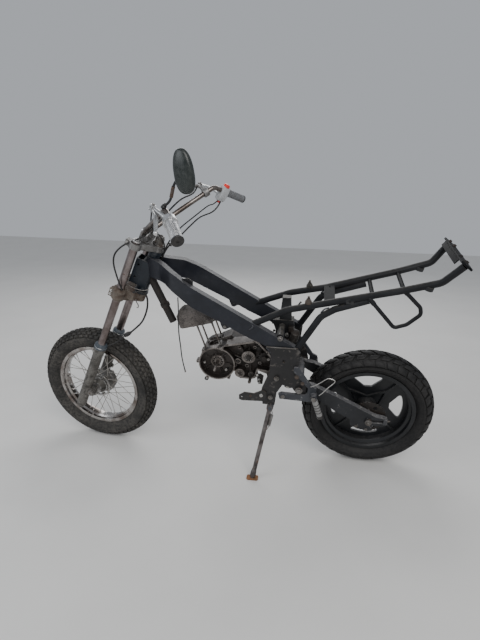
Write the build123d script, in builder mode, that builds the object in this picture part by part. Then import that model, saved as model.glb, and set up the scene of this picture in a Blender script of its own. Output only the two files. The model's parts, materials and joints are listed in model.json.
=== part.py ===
from build123d import *
import os
from math import asin, cos, degrees, hypot, radians, sin, sqrt, tan

os.makedirs("parts", exist_ok=True)

# A stripped geared moped that leans on its side stand, all sizes in millimetres and degrees.
# The bike frame has x forward, y to the rider's left and z up from the ground under the rear tyre.
# The fork frame has its origin on the front axle, z up along the fork and x square to it, forward.

# Stance
LEAN = 10.42
RAKE = 24.07
STEER_REST = -7.84
AXLE_OFFSET = 30.4

# Wheels and tyres, as outer radius, crown radius and widest half width
REAR_TYRE_R = 300
REAR_CROWN = 64.7
REAR_HALF_WIDTH = 63
FRONT_TYRE_R = 302.8
FRONT_CROWN = 49.9
FRONT_HALF_WIDTH = 48.5
BEAD_R = 202.6
FLANGE_HIGH = 13.4
FLANGE_R = BEAD_R + FLANGE_HIGH
REAR_RIM_HALF = 42.4
FRONT_RIM_HALF = 31.8
RIM_WALL = 6
AXLE_R = 7.5
RUN_GAP = 0.3
SEAT_GAP = 0.2

# Fork and steering
LEG_SPREAD = 84
LEG_AHEAD = 33.5
STANCHION_R = 18
LEG_R = 24
LEG_FOOT = -112
SEAL_AT = 273
SEAL_R = 28
LOWER_YOKE_AT = 548
LOWER_YOKE_DEEP = 38
UPPER_YOKE_AT = 804
UPPER_YOKE_DEEP = 26
CLAMP_R = 27
STEM_R = 13
STEM_TOP = 850
HEAD_R = 26
HEAD_BORE = 15
HEAD_CUP_R = 30
HEAD_CUP_DEEP = 14
HEAD_GAP = 1
HEAD_X = 1041
HEAD_Z = 826.5

# Handlebar
BAR_R = 11
BAR_CLAMP_AT = 866
BAR_CLAMP_X = 28
GRIP_R = 17

# Frame
SPAR_Y = 112
SPAR_WIDE = 30
PLATE_INNER = 112
PLATE_THICK = 18
PLATE_TOP = 662
RAIL_R = 14
PIVOT_X = 315
PIVOT_Z = 458
PIVOT_R = 19
PIVOT_BOLT_R = 8
TYRE_TO_PIVOT = 15
ARM_INNER = 80
ARM_WIDE = 28

# Engine
CRANK_X = 693
CRANK_Z = 515
CASE_SPLIT_Y = 4
CASE_LEFT_Y = 66
CASE_RIGHT_Y = -70
CASE_FLOOR_Y = 30
FLYWHEEL_R = 78
CASE_WALL = 6
CYL_LEAN = 17.5
MOUTH_UP = 76
BARREL_HIGH = 120
SPIGOT_R = 24
STUD_R = 4
STUD_HALF_X = 35.5
STUD_HALF_Y = 30

# Side stand
STAND_PIVOT = (440, 141, 350)
STAND_FOOT = (500, 280)
STAND_LEG_R = 10


LEAN_DROP = REAR_CROWN * (1 - cos(radians(LEAN)))
AXLE_X = PIVOT_X - REAR_TYRE_R - TYRE_TO_PIVOT

# The head tube's lower end is fixed in the frame, and the front axle hangs from it by the fork.
HEAD_LOW = LOWER_YOKE_AT + LOWER_YOKE_DEEP + HEAD_GAP
HEAD_HIGH = UPPER_YOKE_AT - HEAD_GAP
FORK_UP = Vector(-sin(radians(RAKE)), 0, cos(radians(RAKE)))
FORK_AHEAD = Vector(cos(radians(RAKE)), 0, sin(radians(RAKE)))
FRONT_AXLE = Vector(HEAD_X, 0, HEAD_Z) - FORK_UP * HEAD_LOW + FORK_AHEAD * AXLE_OFFSET
FORK = Plane(origin=FRONT_AXLE, x_dir=FORK_AHEAD, z_dir=FORK_UP)
TURN = (
    Location((-AXLE_OFFSET, 0, 0))
    * Location((0, 0, 0), (0, 0, STEER_REST))
    * Location((AXLE_OFFSET, 0, 0))
)
TILT = Location((0, 0, LEAN_DROP)) * Location((0, 0, 0), (-LEAN, 0, 0))


def pitched(angle):
    """The leaning bike, turned nose down about its rear axle."""
    about = Location((AXLE_X, 0, REAR_TYRE_R))
    return TILT * about * Location((0, 0, 0), (0, angle, 0)) * about.inverse()


def front_height(angle):
    """Height of the front tyre's lowest point over the ground."""
    placed = pitched(angle) * FORK.location * TURN
    centre = placed.position
    across = (placed * Location((0, 1, 0))).position - centre
    return centre.Z - (FRONT_TYRE_R - FRONT_CROWN) * sqrt(1 - across.Z**2) - FRONT_CROWN


# The bike pitches until the front tyre rests on the ground too.
PITCH = 0
for _ in range(4):
    reach = (FRONT_AXLE.X - AXLE_X) * cos(radians(LEAN))
    PITCH += degrees(asin(front_height(PITCH) / reach))
BIKE = pitched(PITCH)
STEERED = BIKE * FORK.location * TURN
GROUND = Location((0, 0, 0))

pieces = {}


def keep(label, part, frame):
    pieces[label] = (part, frame)


def row_point(x, y, z, frame=None):
    """A point of a local frame in the leaned frame."""
    return ((frame or BIKE) * Location((x, y, z))).position


# Tyres and wheels are revolved about the axle, with the radius along x and the width along y.
TREAD_SHARE = 0.62
CROWN_BANDS = 5


def tyre(radius, crown, half_width, rim_half):
    """A tyre with a round crown in flat bands, bulging sidewalls and beads between the rim's lips."""
    bead_half = rim_half - RIM_WALL - SEAT_GAP
    bead_r = BEAD_R + 1
    neck_r = FLANGE_R + 2
    neck_half = rim_half - 4 - SEAT_GAP
    edge = half_width * TREAD_SHARE
    bulge_r = (neck_r + radius - crown + sqrt(crown**2 - edge**2)) / 2
    turns = [asin(edge / crown) * (2 * band / CROWN_BANDS - 1) for band in range(CROWN_BANDS + 1)]
    with BuildPart() as ring:
        with BuildSketch(Plane.XY):
            with BuildLine():
                Polyline(
                    *[(radius - crown + crown * cos(turn), crown * sin(turn)) for turn in turns],
                    (bulge_r, half_width),
                    (neck_r, neck_half),
                    (bead_r, bead_half),
                    (bead_r, -bead_half),
                    (neck_r, -neck_half),
                    (bulge_r, -half_width),
                    close=True,
                )
            make_face()
        revolve(axis=Axis.Y)
    return ring.part


def rim(rim_half, well_depth):
    bead = BEAD_R
    lip = FLANGE_R
    with BuildPart() as ring:
        with BuildSketch(Plane.XY):
            with BuildLine():
                Polyline(
                    (lip, -rim_half),
                    (lip, -rim_half + 4),
                    (bead, -rim_half + RIM_WALL - 0.4),
                    (bead, -rim_half * 0.45),
                    (bead - well_depth, -rim_half * 0.3),
                    (bead - well_depth, rim_half * 0.3),
                    (bead, rim_half * 0.45),
                    (bead, rim_half - RIM_WALL + 0.4),
                    (lip, rim_half - 4),
                    (lip, rim_half),
                    (bead - 4, rim_half),
                    (bead - 4, rim_half * 0.5),
                    (bead - well_depth - 4, rim_half * 0.34),
                    (bead - well_depth - 4, -rim_half * 0.34),
                    (bead - 4, -rim_half * 0.5),
                    (bead - 4, -rim_half),
                    close=True,
                )
            make_face()
        revolve(axis=Axis.Y)
    return ring.part


REAR_AXLE = Location((AXLE_X, 0, REAR_TYRE_R))
AXLE_FRAME = BIKE * REAR_AXLE
keep("rear_tyre", tyre(REAR_TYRE_R, REAR_CROWN, REAR_HALF_WIDTH, REAR_RIM_HALF), AXLE_FRAME)
keep("front_tyre", tyre(FRONT_TYRE_R, FRONT_CROWN, FRONT_HALF_WIDTH, FRONT_RIM_HALF), STEERED)

# Cast rear wheel: rim ring, hub, and a web with four openings between the points of a star of ribs
REAR_HUB_R = 48
REAR_HUB_HALF = 68
REAR_WELL = 12
WEB_Y = -20
WEB_THICK = 12
RIB_WIDE = 9
RIB_DEEP = 30
OPENINGS = 4
OPENING_AT = 88
OPENING_R = 165
OPENING_TIP_R = 106
OPENING_HALF = 25
OPENING_TIP_HALF = 9
OPENING_ROUND = 8
STAR_INNER_R = REAR_HUB_R + 5
STAR_OUTER_R = 122
OPENING_STEP = 360 / OPENINGS


def polar(radius, angle):
    return (radius * cos(radians(angle)), radius * sin(radians(angle)))


def opening_face():
    """One opening of the web, about the x axis: an arc outside and a narrow rounded end inside."""
    with BuildSketch() as window:
        with BuildLine():
            outer = ThreePointArc(
                polar(OPENING_R, -OPENING_HALF), (OPENING_R, 0), polar(OPENING_R, OPENING_HALF)
            )
            Polyline(
                outer @ 1,
                polar(OPENING_TIP_R, OPENING_TIP_HALF),
                polar(OPENING_TIP_R, -OPENING_TIP_HALF),
                outer @ 0,
            )
        make_face()
        fillet(window.vertices(), radius=OPENING_ROUND)
    return window.sketch


WEB_OPENING = opening_face()
with BuildPart() as rear_wheel:
    add(rim(REAR_RIM_HALF, REAR_WELL))
    with BuildSketch(Plane.XZ.offset(-WEB_Y - WEB_THICK / 2)):
        Circle(BEAD_R - REAR_WELL - 2)
    extrude(amount=WEB_THICK)
    with BuildSketch(Plane.XZ.offset(-WEB_Y - WEB_THICK / 2)):
        with PolarLocations(0, OPENINGS, start_angle=OPENING_AT):
            add(WEB_OPENING)
    extrude(amount=WEB_THICK, mode=Mode.SUBTRACT)
    with BuildSketch(Plane.XZ.offset(-WEB_Y - RIB_DEEP / 2)):
        with BuildLine():
            star = []
            for count in range(OPENINGS):
                angle = OPENING_AT + count * OPENING_STEP
                star.append(polar(STAR_INNER_R, angle))
                star.append(polar(STAR_OUTER_R, angle + OPENING_STEP / 2))
            Polyline(*star, close=True)
        trace(line_width=RIB_WIDE)
        for count in range(OPENINGS):
            angle = OPENING_AT + (count + 0.5) * OPENING_STEP
            with BuildLine():
                Line(polar(STAR_OUTER_R, angle), polar(BEAD_R - REAR_WELL - 2, angle))
            trace(line_width=RIB_WIDE)
    extrude(amount=RIB_DEEP)
    with BuildSketch(Plane.XZ.offset(-REAR_HUB_HALF)):
        Circle(REAR_HUB_R)
    extrude(amount=2 * REAR_HUB_HALF)
    with BuildSketch(Plane.XZ.offset(-REAR_HUB_HALF)):
        Circle(AXLE_R + RUN_GAP)
    extrude(amount=2 * REAR_HUB_HALF, mode=Mode.SUBTRACT)
keep("rear_wheel", rear_wheel.part, AXLE_FRAME)


# Side profiles are drawn on the xz plane and extruded from one y to another.
def side_plate(points, y_low, y_high, holes=(), round_r=0):
    """A flat plate with its outline in x and z; a hole is (x, z, radius)."""
    with BuildPart() as plate:
        with BuildSketch(Plane.XZ.offset(-y_high)) as outline:
            with BuildLine():
                Polyline(*points, close=True)
            make_face()
            if round_r:
                fillet(outline.vertices(), radius=round_r)
            for x, z, radius in holes:
                with Locations((x, z)):
                    Circle(radius, mode=Mode.SUBTRACT)
        extrude(amount=y_high - y_low)
    return plate.part


def rod(start, end, radius, bore=0):
    """A round bar or tube from one point to another."""
    path = Vector(*end) - Vector(*start)
    with BuildPart() as bar:
        with BuildSketch(Plane(origin=start, z_dir=path)):
            Circle(radius)
            if bore:
                Circle(bore, mode=Mode.SUBTRACT)
        extrude(amount=path.length)
    return bar.part


def bent_tube(points, bends, radius):
    """A round tube along straight runs joined by arcs."""
    with BuildPart() as tube:
        with BuildLine() as path:
            FilletPolyline(*points, radius=bends)
        with BuildSketch(Plane(origin=path.line @ 0, z_dir=path.line % 0)):
            Circle(radius)
        sweep(path=path.line)
    return tube.part


def union(*solids):
    with BuildPart() as whole:
        for solid in solids:
            add(solid)
    return whole.part


def cut(body, *tools):
    with BuildPart() as rest:
        add(body)
        for tool in tools:
            add(tool, mode=Mode.SUBTRACT)
    return rest.part


def flip(part):
    """The right-hand twin of a left-hand piece."""
    return part.mirror(Plane.XZ)


# Rear sprocket, bolted to the left end of the hub
SPROCKET_R = 82
SPROCKET_TEETH = 30
SPROCKET_Y = REAR_HUB_HALF + 0.3
SPROCKET_THICK = 6
with BuildPart() as rear_sprocket:
    with BuildSketch(Plane.XZ.offset(-(SPROCKET_Y + SPROCKET_THICK))):
        Circle(SPROCKET_R - 4)
        with PolarLocations(SPROCKET_R - 5, SPROCKET_TEETH):
            Trapezoid(12, 9, 65, rotation=-90)
        Circle(AXLE_R + 6, mode=Mode.SUBTRACT)
        with PolarLocations(56, 6):
            Circle(9, mode=Mode.SUBTRACT)
    extrude(amount=SPROCKET_THICK)
keep("rear_sprocket", rear_sprocket.part, AXLE_FRAME)

# Front wheel: rim, drum hub and laced spokes
FRONT_WELL = 9
FRONT_HUB_HALF = 50
FRONT_FLANGE_R = 62
DRUM_R = 60
HUB_WAIST_R = 34
SPOKES = 36
SPOKE_R = 1.7
HUB_FLANGE_Y = 22
HUB_FLANGE_THICK = 6
HUB_SLOTS = 9
HUB_SLOT_R = 49
HUB_SLOT_LONG = 24
HUB_SLOT_WIDE = 10
with BuildPart() as front_hub:
    with BuildSketch(Plane.XY):
        with BuildLine():
            Polyline(
                (AXLE_R + RUN_GAP, -FRONT_HUB_HALF),
                (DRUM_R, -FRONT_HUB_HALF),
                (DRUM_R, -HUB_FLANGE_Y - HUB_FLANGE_THICK / 2),
                (FRONT_FLANGE_R, -HUB_FLANGE_Y - HUB_FLANGE_THICK / 2),
                (FRONT_FLANGE_R, -HUB_FLANGE_Y + HUB_FLANGE_THICK / 2),
                (HUB_WAIST_R, -HUB_FLANGE_Y + HUB_FLANGE_THICK / 2),
                (HUB_WAIST_R, HUB_FLANGE_Y - HUB_FLANGE_THICK / 2),
                (FRONT_FLANGE_R, HUB_FLANGE_Y - HUB_FLANGE_THICK / 2),
                (FRONT_FLANGE_R, HUB_FLANGE_Y + HUB_FLANGE_THICK / 2),
                (HUB_WAIST_R + 6, HUB_FLANGE_Y + HUB_FLANGE_THICK / 2),
                (28, FRONT_HUB_HALF),
                (AXLE_R + RUN_GAP, FRONT_HUB_HALF),
                close=True,
            )
        make_face()
    revolve(axis=Axis.Y)
    with BuildSketch(Plane.XZ.offset(-HUB_FLANGE_Y - HUB_FLANGE_THICK / 2)):
        with PolarLocations(HUB_SLOT_R, HUB_SLOTS):
            SlotOverall(HUB_SLOT_LONG, HUB_SLOT_WIDE, rotation=90)
    extrude(amount=HUB_FLANGE_THICK, mode=Mode.SUBTRACT)
keep("front_hub", front_hub.part, STEERED)

FRONT_RIM = rim(FRONT_RIM_HALF, FRONT_WELL)
keep("front_rim", FRONT_RIM, STEERED)

NIPPLE_R = BEAD_R - FRONT_WELL - 4
LACE_ANGLE = 42
SPOKE_OFFSET = 3.5
SPOKE_TIP_GAP = 0.7
with BuildPart() as front_spokes:
    for side in (-1, 1):
        for count in range(SPOKES // 2):
            outward = 1 if count % 2 else -1
            hub_angle = count * 720 / SPOKES + side * 5
            rim_angle = hub_angle + outward * LACE_ANGLE
            hub_reach = FRONT_FLANGE_R + SPOKE_R + RUN_GAP
            rim_reach = NIPPLE_R - SPOKE_TIP_GAP
            start = (
                hub_reach * cos(radians(hub_angle)),
                side * (HUB_FLANGE_Y + outward * SPOKE_OFFSET),
                hub_reach * sin(radians(hub_angle)),
            )
            end = (
                rim_reach * cos(radians(rim_angle)),
                side * 5,
                rim_reach * sin(radians(rim_angle)),
            )
            add(rod(start, end, SPOKE_R))
keep("front_spokes", front_spokes.part, STEERED)

# Front axle through the lugs of both legs
LUG_R = 19
LUG_HALF = 14
AXLE_END = LEG_SPREAD + LUG_HALF + 9
AXLE_HEAD_R = 12
with BuildPart() as front_axle:
    add(rod((0, -AXLE_END, 0), (0, AXLE_END, 0), AXLE_R))
    add(rod((0, LEG_SPREAD + LUG_HALF + RUN_GAP, 0), (0, AXLE_END, 0), AXLE_HEAD_R))
    add(rod((0, -LEG_SPREAD - LUG_HALF - RUN_GAP, 0), (0, -AXLE_END, 0), AXLE_HEAD_R))
keep("front_axle", front_axle.part, STEERED)


def fork_leg(side):
    y = side * LEG_SPREAD
    with BuildPart() as leg:
        add(rod((LEG_AHEAD, y, LEG_FOOT + 12), (LEG_AHEAD, y, SEAL_AT - 30), LEG_R))
        add(rod((LEG_AHEAD, y, LEG_FOOT), (LEG_AHEAD, y, LEG_FOOT + 12), LEG_R - 5))
        add(rod((LEG_AHEAD, y, SEAL_AT - 30), (LEG_AHEAD, y, SEAL_AT), SEAL_R))
        add(rod((0, y - LUG_HALF, 0), (0, y + LUG_HALF, 0), LUG_R))
        with BuildSketch(Plane.XZ.offset(-(y + LUG_HALF))):
            with Locations((LEG_AHEAD / 2, 0)):
                Rectangle(LEG_AHEAD, 2 * LUG_R - 4)
        extrude(amount=2 * LUG_HALF)
        add(
            rod((LEG_AHEAD, y, LEG_FOOT + 40), (LEG_AHEAD, y, SEAL_AT + 1), STANCHION_R + SEAT_GAP),
            mode=Mode.SUBTRACT,
        )
        add(rod((0, y - 40, 0), (0, y + 40, 0), AXLE_R + SEAT_GAP), mode=Mode.SUBTRACT)
    return leg.part


LEG_LEFT = fork_leg(1)
keep("fork_legs", union(LEG_LEFT, flip(LEG_LEFT)), STEERED)

STANCHION_FOOT = LEG_FOOT + 90
STANCHION_TOP = UPPER_YOKE_AT + UPPER_YOKE_DEEP + 5
with BuildPart() as fork_tubes:
    for side in (-1, 1):
        y = side * LEG_SPREAD
        add(rod((LEG_AHEAD, y, STANCHION_FOOT), (LEG_AHEAD, y, STANCHION_TOP), STANCHION_R))
keep("fork_tubes", fork_tubes.part, STEERED)


PINCH_LONG = 14
PINCH_WIDE = 26
PINCH_GAP = 3


def yoke(bottom, deep):
    """A plate that joins two round clamps, each split ahead of its tube, to the stem's boss."""
    with BuildPart() as plate:
        with BuildSketch(Plane.XY.offset(bottom)):
            for side in (-1, 1):
                with Locations((LEG_AHEAD, side * LEG_SPREAD)):
                    Circle(CLAMP_R)
            with Locations((-AXLE_OFFSET, 0)):
                Circle(CLAMP_R)
            with BuildLine():
                Polyline(
                    (LEG_AHEAD + 12, LEG_SPREAD),
                    (LEG_AHEAD + 12, -LEG_SPREAD),
                    (LEG_AHEAD - 20, -LEG_SPREAD),
                    (-AXLE_OFFSET - 12, -CLAMP_R + 4),
                    (-AXLE_OFFSET - 12, CLAMP_R - 4),
                    (LEG_AHEAD - 20, LEG_SPREAD),
                    close=True,
                )
            make_face()
            for side in (-1, 1):
                with Locations((LEG_AHEAD + CLAMP_R, side * LEG_SPREAD)):
                    Rectangle(2 * PINCH_LONG, PINCH_WIDE)
                    Rectangle(2 * PINCH_LONG, PINCH_GAP, mode=Mode.SUBTRACT)
                with Locations((LEG_AHEAD, side * LEG_SPREAD)):
                    Circle(STANCHION_R + SEAT_GAP, mode=Mode.SUBTRACT)
        extrude(amount=deep)
    return plate.part


with BuildPart() as lower_yoke:
    add(yoke(LOWER_YOKE_AT, LOWER_YOKE_DEEP))
    add(rod((-AXLE_OFFSET, 0, LOWER_YOKE_AT), (-AXLE_OFFSET, 0, STEM_TOP), STEM_R))
keep("lower_yoke", lower_yoke.part, STEERED)

# Upper yoke with the two risers that clamp the handlebar
RISER_Y = 34
RISER_R = 17
RISER_WIDE = 18
with BuildPart() as upper_yoke:
    add(yoke(UPPER_YOKE_AT, UPPER_YOKE_DEEP))
    for side in (-1, 1):
        y = side * RISER_Y
        with BuildSketch(Plane.XZ.offset(-(y + RISER_WIDE / 2))):
            with BuildLine():
                Polyline(
                    (BAR_CLAMP_X - RISER_R - 4, UPPER_YOKE_AT + UPPER_YOKE_DEEP - 1),
                    (BAR_CLAMP_X + RISER_R, UPPER_YOKE_AT + UPPER_YOKE_DEEP - 1),
                    (BAR_CLAMP_X + RISER_R, BAR_CLAMP_AT),
                    (BAR_CLAMP_X - RISER_R, BAR_CLAMP_AT),
                    close=True,
                )
            make_face()
            with Locations((BAR_CLAMP_X, BAR_CLAMP_AT)):
                Circle(RISER_R)
                Circle(BAR_R + SEAT_GAP, mode=Mode.SUBTRACT)
        extrude(amount=RISER_WIDE)
    add(
        rod((-AXLE_OFFSET, 0, UPPER_YOKE_AT), (-AXLE_OFFSET, 0, STEM_TOP + 5), STEM_R + SEAT_GAP),
        mode=Mode.SUBTRACT,
    )
keep("upper_yoke", upper_yoke.part, STEERED)

# Stem nut stack over the upper yoke
NUT_R = 22
NUT_FLANGE = 5
NUT_LOW = UPPER_YOKE_AT + UPPER_YOKE_DEEP + SEAT_GAP
NUT_CAP_R = 17
with BuildPart() as stem_nut:
    add(rod((-AXLE_OFFSET, 0, NUT_LOW), (-AXLE_OFFSET, 0, NUT_LOW + NUT_FLANGE), NUT_R))
    with BuildSketch(Plane.XY.offset(NUT_LOW)):
        with Locations((-AXLE_OFFSET, 0)):
            RegularPolygon(NUT_R, 6)
    extrude(amount=STEM_TOP + 8 - NUT_LOW)
    add(rod((-AXLE_OFFSET, 0, STEM_TOP), (-AXLE_OFFSET, 0, STEM_TOP + 22), NUT_CAP_R))
    add(
        rod((-AXLE_OFFSET, 0, UPPER_YOKE_AT), (-AXLE_OFFSET, 0, STEM_TOP + SEAT_GAP), STEM_R + SEAT_GAP),
        mode=Mode.SUBTRACT,
    )
keep("stem_nut", stem_nut.part, STEERED)

# Handlebar, as (x, y, z) stations of its left half in the fork frame
BAR_STATIONS = (
    (BAR_CLAMP_X, 62, BAR_CLAMP_AT),
    (-38, 170, 985),
    (-95, 262, 1084),
    (-211, 391, 1060),
)
bar_left = [Vector(*p) for p in BAR_STATIONS]
bar_right = [Vector(p.X, -p.Y, p.Z) for p in reversed(bar_left)]
HANDLEBAR = bent_tube(bar_right + bar_left, [30, 80, 40, 40, 80, 30], BAR_R)
keep("handlebar", HANDLEBAR, STEERED)

# Grips sit on the last straight run of the bar.
GRIP_LENGTH = 128
grip_dir = (bar_left[3] - bar_left[2]).normalized()


def along_grip(distance):
    """A point of the left grip's axis, this far in from the bar's end."""
    point = bar_left[3] - grip_dir * distance
    return (point.X, point.Y, point.Z)


def ring(near, far, radius, bore=BAR_R + SEAT_GAP):
    return rod(along_grip(far), along_grip(near), radius, bore)


GRIP_LEFT = union(ring(-5, GRIP_LENGTH - 30, GRIP_R), rod(along_grip(-0.3), along_grip(-5), GRIP_R))
keep("grips", union(GRIP_LEFT, flip(GRIP_LEFT)), STEERED)

# Head tube with its bearing cups


def head_rod(low, high, radius):
    """A round bar along the head's axis, between two stations of the fork."""
    return rod((-AXLE_OFFSET, 0, low), (-AXLE_OFFSET, 0, high), radius).moved(FORK.location)


HEAD_BLANK = head_rod(HEAD_LOW, HEAD_HIGH, HEAD_R)
HEAD_CORE = head_rod(HEAD_LOW - 5, HEAD_HIGH + 5, HEAD_BORE)
HEAD_TUBE = cut(
    union(
        HEAD_BLANK,
        head_rod(HEAD_LOW, HEAD_LOW + HEAD_CUP_DEEP, HEAD_CUP_R),
        head_rod(HEAD_HIGH - HEAD_CUP_DEEP, HEAD_HIGH, HEAD_CUP_R),
    ),
    HEAD_CORE,
)

# Spars: a side profile crossed with a band that bends outwards from the head
SPAR_SIDE = (
    (HEAD_X - 56, HEAD_Z + 175.5),
    (HEAD_X - 111, HEAD_Z + 159.5),
    (HEAD_X - 191, HEAD_Z + 128.5),
    (337, PLATE_TOP),
    (461, PLATE_TOP),
    (571, 714),
    (659, 764),
    (HEAD_X - 263, HEAD_Z - 3.5),
    (HEAD_X - 196, HEAD_Z + 39.5),
    (HEAD_X - 136, HEAD_Z + 73.5),
    (HEAD_X - 56, HEAD_Z + 85.5),
)
SPAR_PLAN = (
    (HEAD_X - 56, 14),
    (HEAD_X - 121, 40),
    (HEAD_X - 181, 86),
    (HEAD_X - 251, SPAR_Y),
    (300, SPAR_Y),
)
TAB_HOLE = (642, 737, 5)
TAB_THICK = 8
TAB_SIDE = (
    (668, 778),
    (TAB_HOLE[0] + 16, 745),
    (TAB_HOLE[0] + 9, TAB_HOLE[1] - 10),
    (TAB_HOLE[0] - 3, TAB_HOLE[1] - 13),
    (TAB_HOLE[0] - 16, TAB_HOLE[1] - 5),
    (600, 740),
)
with BuildPart() as spar_left:
    with BuildSketch(Plane.XZ.offset(-200)):
        with BuildLine():
            Polyline(*SPAR_SIDE, close=True)
        make_face()
    extrude(amount=200)
    with BuildSketch(Plane.XY.offset(600)):
        with BuildLine():
            FilletPolyline(*SPAR_PLAN, radius=[90, 90, 150])
        trace(line_width=SPAR_WIDE)
    extrude(amount=450, mode=Mode.INTERSECT)
    with BuildSketch(Plane.XZ.offset(-0.3)):
        with Locations((HEAD_X - 81, HEAD_Z + 124)):
            Rectangle(200, 200)
    extrude(amount=60, mode=Mode.SUBTRACT)
    add(head_rod(HEAD_LOW - 5, HEAD_HIGH + 5, HEAD_R + SEAT_GAP), mode=Mode.SUBTRACT)
    add(side_plate(TAB_SIDE, SPAR_Y - TAB_THICK / 2, SPAR_Y + TAB_THICK / 2))
    add(
        rod((TAB_HOLE[0], SPAR_Y - 30, TAB_HOLE[1]), (TAB_HOLE[0], SPAR_Y + 30, TAB_HOLE[1]), TAB_HOLE[2]),
        mode=Mode.SUBTRACT,
    )
SPAR_LEFT = spar_left.part
keep("spar_left", SPAR_LEFT, BIKE)
keep("spar_right", flip(SPAR_LEFT), BIKE)
keep("head_tube", HEAD_TUBE, BIKE)

# Pivot plates
PLATE_SIDE = (
    (462, PLATE_TOP),
    (330, PLATE_TOP),
    (318, 640),
    (326, 560),
    (296, 520),
    (283, 470),
    (285, 428),
    (318, 424),
    (345, 462),
    (388, 474),
    (412, 430),
    (420, 362),
    (474, 362),
    (480, 440),
    (446, 530),
    (443, 632),
)
PLATE_HOLE = (386, 595, 7)
PLATE_OUTER = PLATE_INNER + PLATE_THICK
ENGINE_BOLTS = ((414, 509), (439, 406))
ENGINE_BOLT_R = 6
PLATE_HOLES = [PLATE_HOLE] + [(x, z, ENGINE_BOLT_R + SEAT_GAP) for x, z in ENGINE_BOLTS]
with BuildPart() as pivot_plate_left:
    add(side_plate(PLATE_SIDE, PLATE_INNER, PLATE_OUTER, PLATE_HOLES))
    add(rod((PIVOT_X, 90, PIVOT_Z), (PIVOT_X, 150, PIVOT_Z), PIVOT_BOLT_R + SEAT_GAP), mode=Mode.SUBTRACT)
PLATE_LEFT = pivot_plate_left.part
keep("pivot_plate_left", PLATE_LEFT, BIKE)
keep("pivot_plate_right", flip(PLATE_LEFT), BIKE)

# Subframe: on each side an upper rail with a seat stud and a lower stay, then two cross tubes, a
# cross plate and the tail plate
RAIL_LINE = (
    (536, 111, 750),
    (380, 88, 822),
    (230, 82, 858),
    (-60, 99, 940),
    (-195, 108, 984),
    (-256, 130, 1062),
)
STAY_LINE = ((340, 112, 640), (245, 100, 806), (190, 90, 838), (60, 86, 884))
SEAT_STUD = (298, 84, 842)
STUD_WASHER_R = 10
STUD_THREAD_R = 5
with BuildPart() as subframe_left:
    add(bent_tube(RAIL_LINE, [120, 200, 300, 50], RAIL_R))
    add(bent_tube(STAY_LINE, [60, 60], RAIL_R))
    washer_top = SEAT_STUD[2] + RAIL_R + 12
    add(rod(SEAT_STUD, (SEAT_STUD[0], SEAT_STUD[1], washer_top), STUD_WASHER_R))
    add(rod(SEAT_STUD, (SEAT_STUD[0], SEAT_STUD[1], washer_top + 12), STUD_THREAD_R))
    add(SPAR_LEFT, mode=Mode.SUBTRACT)
    add(PLATE_LEFT, mode=Mode.SUBTRACT)
SUBFRAME_LEFT = subframe_left.part
keep("subframe_rails", union(SUBFRAME_LEFT, flip(SUBFRAME_LEFT)), BIKE)

CROSS_R = 9
CROSS_BARS = ((48, 903, 74), (-66, 937, 82))
CROSS_PLATE_HALF = 80
CROSS_PLATE_SIDE = ((236, 866), (236, 870), (192, 876), (192, 872))
CROSS_PLATE_HOLE = (212, -56, 5)
with BuildPart() as subframe_crossbars:
    for x, z, half in CROSS_BARS:
        add(rod((x, -half - 12, z), (x, half + 12, z), CROSS_R))
    add(side_plate(CROSS_PLATE_SIDE, -CROSS_PLATE_HALF, CROSS_PLATE_HALF))
    add(
        rod(
            (CROSS_PLATE_HOLE[0], CROSS_PLATE_HOLE[1], 850),
            (CROSS_PLATE_HOLE[0], CROSS_PLATE_HOLE[1], 890),
            CROSS_PLATE_HOLE[2],
        ),
        mode=Mode.SUBTRACT,
    )
    add(SUBFRAME_LEFT, mode=Mode.SUBTRACT)
    add(flip(SUBFRAME_LEFT), mode=Mode.SUBTRACT)
keep("subframe_crossbars", subframe_crossbars.part, BIKE)

TAIL_HALF = 146
TAIL_DEEP = 54
TAIL_THICK = 8
TAIL_RAKE = 38
TAIL_PLANE = Plane(
    origin=(-257, 0, 1063),
    x_dir=(0, 1, 0),
    z_dir=(-sin(radians(TAIL_RAKE)), 0, cos(radians(TAIL_RAKE))),
)
with BuildPart() as tail_plate:
    with BuildSketch(TAIL_PLANE.offset(0.3)):
        RectangleRounded(2 * TAIL_HALF, TAIL_DEEP, 8)
    extrude(amount=TAIL_THICK)
    add(SUBFRAME_LEFT, mode=Mode.SUBTRACT)
    add(flip(SUBFRAME_LEFT), mode=Mode.SUBTRACT)
keep("tail_plate", tail_plate.part, BIKE)

LOOP_R = 8
LOOP_LINE = (
    (50, 98, 885),
    (-48, 100, 776),
    (-95, 100, 794),
    (-142, 100, 842),
    (-136, 100, 872),
    (-76, 100, 930),
)
with BuildPart() as side_loop:
    add(bent_tube(LOOP_LINE, [18, 40, 20, 30], LOOP_R))
    add(SUBFRAME_LEFT, mode=Mode.SUBTRACT)
keep("side_loop", side_loop.part, BIKE)

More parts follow.
